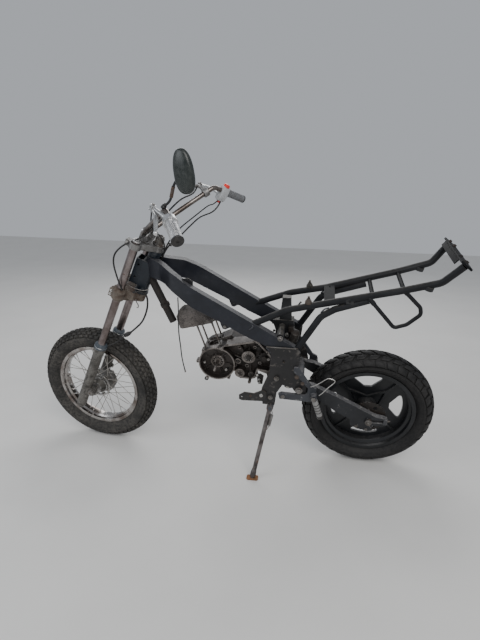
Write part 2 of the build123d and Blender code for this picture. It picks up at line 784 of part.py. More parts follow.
# Shock mount: a tube between the spars with two ears and a tongue
MOUNT_X = 405
MOUNT_Z = 706
MOUNT_R = 16
SHOCK_TOP = (382, 671)
SHOCK_LOW = (368, 400)
EAR_Y = 17
EAR_THICK = 6
EAR_SIDE = ((450, 738), (356, 738), (352, 676), (366, 654), (396, 654), (424, 664))
TONGUE = ((418, 738), (366, 738), (372, 842), (408, 842))
with BuildPart() as shock_mount:
    add(rod((MOUNT_X, -120, MOUNT_Z), (MOUNT_X, 120, MOUNT_Z), MOUNT_R))
    for side in (-1, 1):
        low = side * (EAR_Y + EAR_THICK / 2) - EAR_THICK / 2
        add(side_plate(EAR_SIDE, low, low + EAR_THICK, [(*SHOCK_TOP, 5.2)]))
    add(side_plate(((450, 738), (356, 738), (354, 716), (450, 716)), -EAR_Y - 3, EAR_Y + 3))
    add(side_plate(TONGUE, -16, 16))
    add(SPAR_LEFT, mode=Mode.SUBTRACT)
    add(flip(SPAR_LEFT), mode=Mode.SUBTRACT)
keep("shock_mount", shock_mount.part, BIKE)


def on_shock(distance):
    """A point of the shock's axis, this far down from the upper bolt."""
    length = hypot(SHOCK_TOP[0] - SHOCK_LOW[0], SHOCK_TOP[1] - SHOCK_LOW[1])
    share = distance / length
    return (
        SHOCK_TOP[0] + share * (SHOCK_LOW[0] - SHOCK_TOP[0]),
        0,
        SHOCK_TOP[1] + share * (SHOCK_LOW[1] - SHOCK_TOP[1]),
    )


SHOCK_LENGTH = hypot(SHOCK_TOP[0] - SHOCK_LOW[0], SHOCK_TOP[1] - SHOCK_LOW[1])
EYE_R = 13
EYE_HALF = EAR_Y - 0.3
SEAT_TOP = 28
SEAT_LOW = SHOCK_LENGTH - 48
SEAT_DEEP = 8
SEAT_R = 27
DAMPER_R = 17
DAMPER_END = 150
with BuildPart() as shock_absorber:
    for point in (SHOCK_TOP, SHOCK_LOW):
        add(rod((point[0], -EYE_HALF, point[1]), (point[0], EYE_HALF, point[1]), EYE_R))
    add(rod(on_shock(5), on_shock(SHOCK_LENGTH - 5), 8))
    add(rod(on_shock(SEAT_TOP), on_shock(DAMPER_END), DAMPER_R))
    add(rod(on_shock(SEAT_TOP), on_shock(SEAT_TOP + SEAT_DEEP), SEAT_R))
    add(rod(on_shock(SEAT_LOW - SEAT_DEEP), on_shock(SEAT_LOW), SEAT_R))
    for point in (SHOCK_TOP, SHOCK_LOW):
        add(rod((point[0], -30, point[1]), (point[0], 30, point[1]), 5.2), mode=Mode.SUBTRACT)
keep("shock_absorber", shock_absorber.part, BIKE)

SPRING_R = 22
SPRING_WIRE = 3.6
SPRING_TURNS = 8
SPRING_FIRST = SEAT_TOP + SEAT_DEEP + SPRING_WIRE + RUN_GAP
SPRING_LAST = SEAT_LOW - SEAT_DEEP - SPRING_WIRE - RUN_GAP
SPRING_LENGTH = SPRING_LAST - SPRING_FIRST
with BuildPart() as shock_spring:
    with BuildLine() as coil:
        Helix(pitch=SPRING_LENGTH / SPRING_TURNS, height=SPRING_LENGTH, radius=SPRING_R)
    with BuildSketch(Plane(origin=coil.line @ 0, z_dir=coil.line % 0)):
        RegularPolygon(SPRING_WIRE, 6)
    sweep(path=coil.line, is_frenet=True)
SPRING_PLANE = Plane(
    origin=on_shock(SPRING_FIRST), z_dir=Vector(*on_shock(SPRING_LAST)) - Vector(*on_shock(SPRING_FIRST))
)
keep("shock_spring", shock_spring.part.moved(SPRING_PLANE.location), BIKE)

BOLT_R = 5
with BuildPart() as shock_bolts:
    reach = EAR_Y + EAR_THICK + RUN_GAP
    for point in (SHOCK_TOP, SHOCK_LOW):
        add(rod((point[0], -reach - 6, point[1]), (point[0], reach + 6, point[1]), BOLT_R))
        for side in (-1, 1):
            near, far = side * reach, side * (reach + 6)
            add(rod((point[0], near, point[1]), (point[0], far, point[1]), 9))
keep("shock_bolts", shock_bolts.part, BIKE)

# Swingarm: pivot tube, two arms with open slots for the axle, two ears for the shock and a tab
# below the left arm
ARM_SIDE = (
    (334, 480),
    (252, 466),
    (140, 414),
    (AXLE_X + 57, REAR_TYRE_R + 72),
    (AXLE_X - 30, REAR_TYRE_R + 26),
    (AXLE_X - 74, REAR_TYRE_R + 18),
    (AXLE_X - 74, REAR_TYRE_R - 20),
    (AXLE_X + 4, REAR_TYRE_R - 26),
    (AXLE_X + 90, REAR_TYRE_R + 8),
    (152, 342),
    (201, 378),
    (296, 436),
    (334, 440),
)
SLOT_HALF = 8
TUBE_HALF = PLATE_INNER - 0.4
ARM_TAB = (
    (AXLE_X + 84, REAR_TYRE_R + 14),
    (AXLE_X + 76, REAR_TYRE_R - 30),
    (AXLE_X + 44, REAR_TYRE_R - 46),
    (AXLE_X - 14, REAR_TYRE_R - 54),
    (AXLE_X - 20, REAR_TYRE_R - 36),
    (AXLE_X + 10, REAR_TYRE_R - 16),
)
ARM_TAB_THICK = 6
ARM_TAB_HOLE = (AXLE_X + 50, REAR_TYRE_R - 32, 5)
with BuildPart() as swingarm:
    for side in (-1, 1):
        low = ARM_INNER if side > 0 else -ARM_INNER - ARM_WIDE
        add(side_plate(ARM_SIDE, low, low + ARM_WIDE))
    tab_low = ARM_INNER + ARM_WIDE - ARM_TAB_THICK
    add(side_plate(ARM_TAB, tab_low, tab_low + ARM_TAB_THICK, [ARM_TAB_HOLE]))
    with BuildSketch(Plane.XZ.offset(-150)):
        with Locations((AXLE_X - 40, REAR_TYRE_R)):
            SlotCenterToCenter(92, 2 * SLOT_HALF)
    extrude(amount=300, mode=Mode.SUBTRACT)
    add(rod((PIVOT_X, -TUBE_HALF, PIVOT_Z), (PIVOT_X, TUBE_HALF, PIVOT_Z), PIVOT_R))
    for side in (-1, 1):
        low = side * (EAR_Y + EAR_THICK / 2) - EAR_THICK / 2
        ear = ((303, 438), (318, 466), (334, 450), (384, 406), (384, 390), (368, 382), (350, 386))
        add(side_plate(ear, low, low + EAR_THICK, [(*SHOCK_LOW, 5.2)]))
    add(
        rod((PIVOT_X, -120, PIVOT_Z), (PIVOT_X, 120, PIVOT_Z), PIVOT_BOLT_R + SEAT_GAP),
        mode=Mode.SUBTRACT,
    )
keep("swingarm", swingarm.part, BIKE)

with BuildPart() as pivot_bolt:
    reach = PLATE_OUTER + RUN_GAP
    add(rod((PIVOT_X, -reach - 10, PIVOT_Z), (PIVOT_X, reach + 10, PIVOT_Z), PIVOT_BOLT_R))
    for side in (-1, 1):
        near, far = side * reach, side * (reach + 9)
        add(rod((PIVOT_X, near, PIVOT_Z), (PIVOT_X, far, PIVOT_Z), 14))
keep("pivot_bolt", pivot_bolt.part, BIKE)

# Rear axle with spacers and nuts
ARM_OUTER = ARM_INNER + ARM_WIDE
with BuildPart() as rear_axle:
    reach = ARM_OUTER + RUN_GAP
    add(rod((0, -reach - 12, 0), (0, reach + 12, 0), AXLE_R))
    for side in (-1, 1):
        add(rod((0, side * reach, 0), (0, side * (reach + 11), 0), 15))
        add(rod((0, side * (ARM_INNER - RUN_GAP), 0), (0, side * (REAR_HUB_HALF + 7.5), 0), 13))
keep("rear_axle", rear_axle.part, AXLE_FRAME)

# The cylinder is gone: its axis runs through the crank and leans forward, and its base is the mouth.
CYL_UP = Vector(sin(radians(CYL_LEAN)), 0, cos(radians(CYL_LEAN)))
CYL = Plane(
    origin=Vector(CRANK_X, 0, CRANK_Z) + CYL_UP * MOUTH_UP,
    x_dir=(cos(radians(CYL_LEAN)), 0, -sin(radians(CYL_LEAN))),
    z_dir=CYL_UP,
)
CYL_FRAME = BIKE * CYL.location

# Crankcase halves share the outline of the rear and below, and each has its own top.
CASE_LUG_R = 13
CASE_REAR = ((404, 540), (403, 498), (432, 480))
CASE_BELOW = ((464, 482), (503, 496), (515, 455), (536, 447), (588, 448), (613, 485), (650, 490))
CASE_LEFT_ABOVE = ((690, 590), (647, 621), (584, 632), (519, 649), (503, 644), (467, 604), (447, 579))
CASE_RIGHT_ABOVE = ((740, 560), (687, 608), (634, 634), (559, 590), (447, 572))
NECK_RIM = 10
NECK_DEEP = 52
SPIGOT_DEEP = 36
ENGINE_HOLES = [
    rod((x, -150, z), (x, 150, z), ENGINE_BOLT_R + SEAT_GAP) for x, z in ENGINE_BOLTS
]


def case_half(above, y_low, y_high):
    """A crankcase half with its ring round the flywheel, the mouth's block and the rear lugs."""
    lug_x, lug_z = ENGINE_BOLTS[1]
    neck_low = max(y_low, -STUD_HALF_Y - NECK_RIM)
    neck_high = min(y_high, STUD_HALF_Y + NECK_RIM)
    with BuildPart() as half:
        with BuildSketch(Plane.XZ.offset(-y_high)):
            with BuildLine():
                Polyline(
                    *above,
                    *CASE_REAR,
                    (lug_x - CASE_LUG_R, lug_z),
                    (lug_x + CASE_LUG_R, lug_z),
                    *CASE_BELOW,
                    close=True,
                )
            make_face()
            with Locations(ENGINE_BOLTS[1]):
                Circle(CASE_LUG_R)
            with Locations((CRANK_X, CRANK_Z)):
                Circle(FLYWHEEL_R + CASE_WALL)
        extrude(amount=y_high - y_low)
        with BuildSketch(CYL) as mouth:
            with Locations((0, (neck_low + neck_high) / 2)):
                Rectangle(2 * (STUD_HALF_X + NECK_RIM), neck_high - neck_low)
        extrude(amount=-NECK_DEEP)
        extrude(mouth.sketch, amount=FLYWHEEL_R, mode=Mode.SUBTRACT)
        with BuildSketch(CYL):
            Circle(SPIGOT_R)
        extrude(amount=-SPIGOT_DEEP, mode=Mode.SUBTRACT)
    return cut(half.part, *ENGINE_HOLES)


# The left half is open where its covers are missing: the flywheel's round cavity with its crank
# bearing and ribs, and the gearbox side with bearing rings, walls and the shift shaft's collar.
BEARING_R = 25
BEARING_WALL = 9
BEARING_Y = 40
SCREW_BOSS_R = 8
SCREW_BOSSES = ((632, 611), (519, 641), (462, 592), (514, 468))
RING_BOSSES = (4, 47, -59, -127)
GEAR_POCKET = (
    (660, 608),
    (584, 624),
    (519, 640),
    (507, 636),
    (474, 600),
    (450, 570),
    (442, 555),
    (442, 530),
    (456, 500),
    (509, 506),
    (522, 463),
    (537, 455),
    (585, 456),
    (606, 488),
    (650, 500),
)
SHIFT_AT = (536, 467)
SHIFT_R = 6.5
SHIFT_BOSS_Y = 60
SHIFT_SEAT = 20
INPUT_AT = (548, 559)
INPUT_Y = 60
CASE_RINGS = (
    (CRANK_X, CRANK_Z, BEARING_R + BEARING_WALL, BEARING_R, BEARING_Y),
    (*INPUT_AT, 31, 23, INPUT_Y),
    (588, 474, 23, 15, 65),
    (597, 531, 14, 9, 55),
    (*SHIFT_AT, 14, SHIFT_R + RUN_GAP, SHIFT_BOSS_Y),
)
CASE_WALLS = (((592, 622), (573, 585)), ((541, 530), (541, 478)), ((612, 560), (577, 545)))
CASE_WALL_Y = 52
RIBS = 6
RIB_THICK = 4
RIB_TOP_Y = 36
with BuildPart() as crankcase_left:
    add(case_half(CASE_LEFT_ABOVE, CASE_SPLIT_Y, CASE_LEFT_Y))
    with BuildSketch(Plane.XZ.offset(-CASE_LEFT_Y)):
        with Locations(*SCREW_BOSSES):
            Circle(SCREW_BOSS_R)
        for angle in RING_BOSSES:
            along, up = polar(FLYWHEEL_R + CASE_WALL + SCREW_BOSS_R / 2, angle)
            with Locations((CRANK_X + along, CRANK_Z + up)):
                Circle(SCREW_BOSS_R)
    extrude(amount=CASE_LEFT_Y - STUD_HALF_Y - NECK_RIM - 1)
    with BuildSketch(Plane.XZ.offset(-CASE_LEFT_Y)):
        with BuildLine():
            Polyline(*GEAR_POCKET, close=True)
        make_face()
        with Locations((CRANK_X, CRANK_Z)):
            Circle(FLYWHEEL_R + CASE_WALL, mode=Mode.SUBTRACT)
            Circle(FLYWHEEL_R)
    extrude(amount=CASE_LEFT_Y - CASE_FLOOR_Y, mode=Mode.SUBTRACT)
    with BuildSketch(Plane.XZ.offset(-RIB_TOP_Y)):
        with Locations((CRANK_X, CRANK_Z)):
            with PolarLocations((BEARING_R + BEARING_WALL + FLYWHEEL_R) / 2, RIBS, start_angle=20):
                Rectangle(FLYWHEEL_R - BEARING_R - BEARING_WALL + 4, RIB_THICK)
    extrude(amount=RIB_TOP_Y - CASE_FLOOR_Y + 1)
    with BuildSketch(Plane.XZ.offset(-CASE_WALL_Y)):
        for start, end in CASE_WALLS:
            with BuildLine():
                Line(start, end)
            trace(line_width=RIB_THICK)
    extrude(amount=CASE_WALL_Y - CASE_FLOOR_Y + 1)
    for x, z, outer, inner, top in CASE_RINGS:
        with BuildSketch(Plane.XZ.offset(-top)):
            with Locations((x, z)):
                Circle(outer)
        extrude(amount=top - CASE_FLOOR_Y + 1)
        with BuildSketch(Plane.XZ.offset(-top)):
            with Locations((x, z)):
                Circle(inner)
        extrude(amount=min(top - CASE_FLOOR_Y, SHIFT_SEAT), mode=Mode.SUBTRACT)
    add(rod((INPUT_AT[0], CASE_FLOOR_Y - 1, INPUT_AT[1]), (INPUT_AT[0], INPUT_Y - 4, INPUT_AT[1]), 18))
keep("crankcase_left", crankcase_left.part, BIKE)
keep("crankcase_right", case_half(CASE_RIGHT_ABOVE, CASE_RIGHT_Y, CASE_SPLIT_Y), BIKE)

# Output shaft with its small sprocket, and the gear shift's shaft
DRIVE_AT = (477, 556)
DRIVE_R = 29
DRIVE_Y = 50
DRIVE_TEETH = 12
DRIVE_THICK = 6
DRIVE_SHAFT_R = 9
with BuildPart() as drive_sprocket:
    with BuildSketch(Plane.XZ.offset(-DRIVE_Y)):
        with Locations(DRIVE_AT):
            Circle(DRIVE_R - 5)
            with PolarLocations(DRIVE_R - 4.5, DRIVE_TEETH):
                Trapezoid(10, 9, 65, rotation=-90)
    extrude(amount=DRIVE_THICK)
    add(
        rod(
            (DRIVE_AT[0], CASE_FLOOR_Y, DRIVE_AT[1]),
            (DRIVE_AT[0], DRIVE_Y + 9, DRIVE_AT[1]),
            DRIVE_SHAFT_R,
        )
    )
keep("drive_sprocket", drive_sprocket.part, BIKE)

SHIFT_END_Y = 122
with BuildPart() as shift_shaft:
    add(
        rod(
            (SHIFT_AT[0], SHIFT_BOSS_Y - SHIFT_SEAT + RUN_GAP, SHIFT_AT[1]),
            (SHIFT_AT[0], SHIFT_END_Y, SHIFT_AT[1]),
            SHIFT_R,
        )
    )
keep("shift_shaft", shift_shaft.part, BIKE)

# Two long bolts carry the engine between the pivot plates, with a spacer tube on each side.
SPACER_R = 12
BOLT_HEAD_DEEP = 7
with BuildPart() as engine_bolts:
    for x, z in ENGINE_BOLTS:
        reach = PLATE_OUTER + RUN_GAP
        add(rod((x, -reach - BOLT_HEAD_DEEP, z), (x, reach + BOLT_HEAD_DEEP, z), ENGINE_BOLT_R))
        for side in (-1, 1):
            add(rod((x, side * reach, z), (x, side * (reach + BOLT_HEAD_DEEP), z), 10))
            case_face = CASE_LEFT_Y if side > 0 else -CASE_RIGHT_Y
            near, far = side * (case_face + RUN_GAP), side * (PLATE_INNER - RUN_GAP)
            add(rod((x, near, z), (x, far, z), SPACER_R))
keep("engine_bolts", engine_bolts.part, BIKE)

# The clutch cover wraps the clutch and the crank's right end.
COVER_DEEP = 34
COVER_EDGE = 9
CLUTCH_AT = (615, 540)
CLUTCH_R = 64
COVER_NOSE_R = 42
with BuildPart() as clutch_cover:
    with BuildSketch(Plane.XZ.offset(-CASE_RIGHT_Y)):
        with Locations(CLUTCH_AT):
            Circle(CLUTCH_R)
        with Locations((CRANK_X, CRANK_Z)):
            Circle(COVER_NOSE_R)
        make_hull()
    extrude(amount=COVER_DEEP)
    chamfer(clutch_cover.faces().sort_by(Axis.Y)[0].edges(), length=COVER_EDGE)
keep("clutch_cover", clutch_cover.part, BIKE)

# Left end of the crankshaft: bearing, seal, straight seat, cone and thread
CRANK_END_Y = 122
CRANK_SEAL_R = 16
CRANK_SEAT_R = 7.5
CRANK_SEAT_Y = 62
CRANK_THREAD_R = 5
CRANK_CONE_Y = 92
with BuildPart() as crankshaft:
    with BuildSketch(Plane(origin=(CRANK_X, 0, CRANK_Z))):
        with BuildLine():
            Polyline(
                (0, CASE_FLOOR_Y),
                (BEARING_R - RUN_GAP, CASE_FLOOR_Y),
                (BEARING_R - RUN_GAP, BEARING_Y - 3),
                (CRANK_SEAL_R, BEARING_Y - 3),
                (CRANK_SEAL_R, BEARING_Y),
                (CRANK_SEAT_R, BEARING_Y),
                (CRANK_SEAT_R, CRANK_SEAT_Y),
                (CRANK_THREAD_R, CRANK_CONE_Y),
                (CRANK_THREAD_R, CRANK_END_Y),
                (0, CRANK_END_Y),
                close=True,
            )
        make_face()
    revolve(axis=Axis((CRANK_X, 0, CRANK_Z), (0, 1, 0)))
keep("crankshaft", crankshaft.part, BIKE)

# Four studs stand on the mouth's face and carry the rough casting of the cylinder's top.
HEAD_SOCKET = 9
with BuildPart() as cylinder_studs:
    with BuildSketch(Plane.XY):
        with GridLocations(2 * STUD_HALF_X, 2 * STUD_HALF_Y, 2, 2):
            Circle(STUD_R)
    extrude(amount=BARREL_HIGH + HEAD_SOCKET)
keep("cylinder_studs", cylinder_studs.part, CYL_FRAME)

HEAD_LEFT = 62
HEAD_RIGHT = 120
HEAD_HALF = 50
HEAD_TOP = 88
HEAD_CORNER = 40
HEAD_SIDE = (
    (-HEAD_LEFT, 0),
    (-HEAD_LEFT, 7),
    (-41, 9),
    (-15, 43),
    (12, 63),
    (40, 82),
    (74, HEAD_TOP),
    (94, 80),
    (112, 65),
    (HEAD_RIGHT, 32),
    (HEAD_RIGHT, 0),
)
HEAD_ARCH = ((HEAD_HALF, 0), (HEAD_HALF, 28), (39, 60), (20, HEAD_TOP + 1))
with BuildPart() as cylinder_head:
    with BuildSketch(Plane.XY):
        with Locations(((HEAD_RIGHT - HEAD_LEFT) / 2, 0)):
            RectangleRounded(HEAD_RIGHT + HEAD_LEFT, 2 * HEAD_HALF, HEAD_CORNER)
    extrude(amount=HEAD_TOP + 1)
    with BuildSketch(Plane.XZ.offset(-HEAD_HALF)):
        with BuildLine():
            Polyline(*HEAD_SIDE, close=True)
        make_face()
    extrude(amount=2 * HEAD_HALF, mode=Mode.INTERSECT)
    with BuildSketch(Plane.YZ.offset(-HEAD_LEFT)):
        with BuildLine():
            Polyline(*HEAD_ARCH, *[(-y, z) for y, z in reversed(HEAD_ARCH)], close=True)
        make_face()
    extrude(amount=HEAD_LEFT + HEAD_RIGHT, mode=Mode.INTERSECT)
    with BuildSketch(Plane.XY):
        with GridLocations(2 * STUD_HALF_X, 2 * STUD_HALF_Y, 2, 2):
            Circle(STUD_R + SEAT_GAP)
    extrude(amount=HEAD_SOCKET + SEAT_GAP, mode=Mode.SUBTRACT)
keep("cylinder_head", cylinder_head.part, CYL_FRAME * Location((0, 0, BARREL_HIGH)))

# Passenger footrest brackets outside the pivot plates, and their folded pegs
BRACKET_SIDE = (
    (340, 575),
    (322, 575),
    (262, 486),
    (240, 474),
    (240, 408),
    (272, 404),
    (398, 408),
    (404, 432),
    (392, 440),
    (290, 436),
    (278, 446),
    (276, 474),
    (342, 556),
)
BRACKET_THICK = 12
BRACKET_Y = PLATE_OUTER + 0.3
BRACKET_LEFT = side_plate(BRACKET_SIDE, BRACKET_Y, BRACKET_Y + BRACKET_THICK)
BRACKET_LEFT = cut(
    BRACKET_LEFT,
    rod((PIVOT_X, 120, PIVOT_Z), (PIVOT_X, 170, PIVOT_Z), 15),
)
PEG_HINGE = (250, 440)
PEG_LENGTH = 104
PEG_R = 13
PEG_Y = BRACKET_Y + BRACKET_THICK + PEG_R + 1
PEG_EYE_R = 15
PEG_MOUNT = union(
    BRACKET_LEFT,
    rod((PEG_HINGE[0], BRACKET_Y, PEG_HINGE[1]), (PEG_HINGE[0], PEG_Y + 14, PEG_HINGE[1]), PEG_EYE_R),
)
keep("passenger_brackets", union(PEG_MOUNT, flip(PEG_MOUNT)), BIKE)

PEG_LEFT = cut(
    rod((PEG_HINGE[0], PEG_Y, PEG_HINGE[1]), (214, PEG_Y, PEG_HINGE[1] - PEG_LENGTH), PEG_R),
    rod(
        (PEG_HINGE[0], PEG_Y - 30, PEG_HINGE[1]),
        (PEG_HINGE[0], PEG_Y + 40, PEG_HINGE[1]),
        PEG_EYE_R + RUN_GAP,
    ),
)
keep("passenger_pegs", union(PEG_LEFT, flip(PEG_LEFT)), BIKE)

# Rider footrest arms, bolted to the front legs of the pivot plates
RIDER_ARM = (
    (456, 384),
    (456, 428),
    (474, 440),
    (514, 418),
    (556, 421),
    (580, 404),
    (580, 384),
    (566, 378),
)
RIDER_LEFT = cut(
    side_plate(RIDER_ARM, PLATE_OUTER + 0.3, PLATE_OUTER + 8.3),
    rod((568, 120, 396), (568, 160, 396), 5),
)
keep("rider_footrest_arms", union(RIDER_LEFT, flip(RIDER_LEFT)), BIKE)

# Boxed bracket with fixing holes in its sides, in front of the head tube
BRACKET_LOW = 625
BRACKET_HIGH = 745
BRACKET_HOLE_X = 14
BRACKET_HOLES = (656, 717)
BRACKET_HOLE_R = 5
with BuildPart() as head_bracket:
    with BuildSketch(Plane.XY.offset(BRACKET_LOW)):
        with Locations((-AXLE_OFFSET, 0)):
            Rectangle(2 * HEAD_R + 8, 2 * HEAD_R + 8)
            with Locations((HEAD_R + 18, 0)):
                Rectangle(36, 56)
            with Locations((HEAD_R + 20, 0)):
                Rectangle(24, 48, mode=Mode.SUBTRACT)
            Circle(HEAD_R + 0.3, mode=Mode.SUBTRACT)
            with Locations((-HEAD_R - 10, 0)):
                Rectangle(40, 90, mode=Mode.SUBTRACT)
    extrude(amount=BRACKET_HIGH - BRACKET_LOW)
    for height in BRACKET_HOLES:
        across = rod((BRACKET_HOLE_X, -40, height), (BRACKET_HOLE_X, 40, height), BRACKET_HOLE_R)
        add(across, mode=Mode.SUBTRACT)
HEAD_BRACKET = cut(head_bracket.part.moved(FORK.location), SPAR_LEFT, flip(SPAR_LEFT))
keep("head_bracket", HEAD_BRACKET, BIKE)

# Front arm stub, welded under the head tube
ARM_TOP = (HEAD_X - 45, 0, HEAD_Z + 88.5)
ARM_LOW = (HEAD_X - 138, 0, HEAD_Z - 140.5)
ARM_COLLAR = (HEAD_X - 103, 0, HEAD_Z - 51.5)
ARM_COLLAR_END = (HEAD_X - 109, 0, HEAD_Z - 66.5)
FRONT_ARM_R = 17
FRONT_ARM = cut(
    union(
        rod(ARM_TOP, ARM_LOW, FRONT_ARM_R),
        rod(ARM_COLLAR, ARM_COLLAR_END, FRONT_ARM_R + 4),
    ),
    head_rod(HEAD_LOW - 60, HEAD_LOW + HEAD_CUP_DEEP + SEAT_GAP, HEAD_CUP_R + SEAT_GAP),
    head_rod(HEAD_LOW, HEAD_HIGH, HEAD_R + SEAT_GAP),
)
FRONT_ARM = cut(FRONT_ARM, SPAR_LEFT, flip(SPAR_LEFT))
keep("front_arm", FRONT_ARM, BIKE)

# The side stand turns in the plane of its leg, down and folded, which is drawn in the leaned frame.
STAND_FOLDED = (-0.98, 0.05, -0.17)
PIVOT_ROW = row_point(*STAND_PIVOT)
FOOT_THICK = 6
FOOT_ROW = Vector(STAND_FOOT[0], STAND_FOOT[1], FOOT_THICK / 2)
LEG_DOWN = FOOT_ROW - PIVOT_ROW
LEG_UP = row_point(*(p + q for p, q in zip(STAND_PIVOT, STAND_FOLDED))) - PIVOT_ROW
STAND = Plane(origin=PIVOT_ROW, x_dir=LEG_DOWN, z_dir=LEG_DOWN.cross(LEG_UP))
STAND_BOLT_R = 5
EYE_THICK = 12
LUG_THICK = 8
with BuildPart() as side_stand:
    with BuildSketch(STAND.offset(-EYE_THICK / 2)):
        Circle(14)
        with Locations((20, 0)):
            Rectangle(40, 20)
        Circle(STAND_BOLT_R + SEAT_GAP, mode=Mode.SUBTRACT)
    extrude(amount=EYE_THICK)
    with BuildSketch(Plane(origin=PIVOT_ROW, z_dir=LEG_DOWN).offset(26)):
        Circle(STAND_LEG_R)
    extrude(amount=LEG_DOWN.length - 26)
    with BuildSketch(Plane.XY):
        with Locations((STAND_FOOT[0], STAND_FOOT[1])):
            RectangleRounded(52, 34, 8)
    extrude(amount=FOOT_THICK)
    with BuildSketch(Plane.XY.offset(-30)):
        with Locations((STAND_FOOT[0], STAND_FOOT[1])):
            Rectangle(100, 100)
    extrude(amount=30, mode=Mode.SUBTRACT)
keep("side_stand", side_stand.part, GROUND)

with BuildPart() as stand_bracket:
    with BuildSketch(STAND.offset(-EYE_THICK / 2 - RUN_GAP - LUG_THICK)):
        Circle(15)
        with Locations((-24, 0)):
            Rectangle(48, 30)
    extrude(amount=LUG_THICK)
    with BuildSketch(STAND.offset(-EYE_THICK / 2 - RUN_GAP - LUG_THICK)):
        Circle(STAND_BOLT_R)
    extrude(amount=LUG_THICK + EYE_THICK + 2 * RUN_GAP + 5)
    with BuildSketch(STAND.offset(EYE_THICK / 2 + RUN_GAP)):
        Circle(9)
    extrude(amount=6)
    add(PLATE_LEFT.moved(BIKE), mode=Mode.SUBTRACT)
    with BuildSketch(Plane(BIKE * Location((440, 121, 480)))):
        Rectangle(160, 120)
    extrude(amount=-117, mode=Mode.SUBTRACT)
keep("stand_bracket", stand_bracket.part, GROUND)

# Left perch, lever, and a mirror with a tapered back
with BuildPart() as clutch_perch:
    add(ring(GRIP_LENGTH - 29, GRIP_LENGTH - 5, 19))
keep("clutch_perch", clutch_perch.part, STEERED)

LEVER_LINE = ((-48, 262, 1069), (-86, 306, 1062), (-124, 362, 1034))
LEVER_R = 6
with BuildPart() as clutch_lever:
    add(bent_tube(LEVER_LINE, [40], LEVER_R))
    add(Sphere(9, mode=Mode.PRIVATE).moved(Location(LEVER_LINE[2])))
    perch = along_grip(GRIP_LENGTH - 17)
    add(rod(LEVER_LINE[0], (perch[0], perch[1], perch[2]), 8))
    add(rod(along_grip(0), along_grip(GRIP_LENGTH + 20), 19.3), mode=Mode.SUBTRACT)
    add(HANDLEBAR, mode=Mode.SUBTRACT)
keep("clutch_lever", clutch_lever.part, STEERED)

MIRROR_STEM = ((-84, 258, 1090), (-101, 268, 1128), (-97, 272, 1182), (-110, 284, 1232))
MIRROR_UP = Vector(79, 0, 127)
MIRROR_ACROSS = Vector(-67, 20, 33)
MIRROR_HALF = (74, 46)
MIRROR_THICK = 18
MIRROR_TAPER = 9
with BuildPart() as mirror:
    add(bent_tube(MIRROR_STEM, [30, 40], 5))
    face = Plane(origin=(-117, 290, 1243), x_dir=MIRROR_UP, z_dir=MIRROR_UP.cross(MIRROR_ACROSS))
    with BuildSketch(face.offset(MIRROR_THICK / 2)):
        Ellipse(*MIRROR_HALF)
    with BuildSketch(face.offset(-MIRROR_THICK / 2)):
        Ellipse(MIRROR_HALF[0] - MIRROR_TAPER, MIRROR_HALF[1] - MIRROR_TAPER)
    loft()
    add(rod(along_grip(0), along_grip(GRIP_LENGTH + 20), 19.3), mode=Mode.SUBTRACT)
    add(HANDLEBAR, mode=Mode.SUBTRACT)
keep("mirror", mirror.part, STEERED)

# Right switch housing, perch and brake lever
with BuildPart() as right_switch:
    add(ring(GRIP_LENGTH - 29.5, GRIP_LENGTH + 8, 21))
    body = along_grip(GRIP_LENGTH - 12)
    for lift in (24, -24):
        add(rod((body[0], body[1], body[2]), (body[0] + 4, body[1], body[2] + lift), 7))
    add(rod(along_grip(0), along_grip(GRIP_LENGTH + 20), BAR_R + SEAT_GAP), mode=Mode.SUBTRACT)
keep("right_switch", flip(right_switch.part), STEERED)

BRAKE_LINE = ((-35, -248, 1064), (-73, -296, 1062), (-112, -350, 1040))
BAR_TURN = (bar_left[2] - bar_left[1]).normalized()
with BuildPart() as brake_lever:
    add(bent_tube(BRAKE_LINE, [40], LEVER_R))
    perch_mid = bar_left[2] - BAR_TURN * 46
    lower = bar_left[2] - BAR_TURN * 58
    upper = bar_left[2] - BAR_TURN * 34
    add(rod((lower.X, -lower.Y, lower.Z), (upper.X, -upper.Y, upper.Z), 18))
    add(rod(BRAKE_LINE[0], (perch_mid.X, -perch_mid.Y, perch_mid.Z), 8))
    add(HANDLEBAR, mode=Mode.SUBTRACT)
keep("brake_lever", brake_lever.part, STEERED)

# One loose cable hangs from the left spar, drawn in the leaned frame where down is down.
CABLE_R = 2.5
CABLE_LINE = (
    (838.7, 265.8, 827.4),
    (836, 268, 771),
    (838, 267, 716),
    (837, 266, 661),
    (829, 267, 607),
    (825, 268, 553),
    (812, 267, 500),
)
CABLE_END_R = 4
CABLE_END_LONG = 9
cable_runs = [Vector(*p) for p in CABLE_LINE]
cable_radii = []
for before, point, after in zip(cable_runs, cable_runs[1:], cable_runs[2:]):
    turn = radians((point - before).get_angle(after - point))
    cable_radii.append(0.45 * min((point - before).length, (after - point).length) / tan(turn / 2))
tail = cable_runs[-1] + (cable_runs[-1] - cable_runs[-2]).normalized() * CABLE_END_LONG
CABLE = union(
    bent_tube(CABLE_LINE, cable_radii, CABLE_R),
    rod(CABLE_LINE[-1], (tail.X, tail.Y, tail.Z), CABLE_END_R),
)
keep("hanging_cable", CABLE, GROUND)

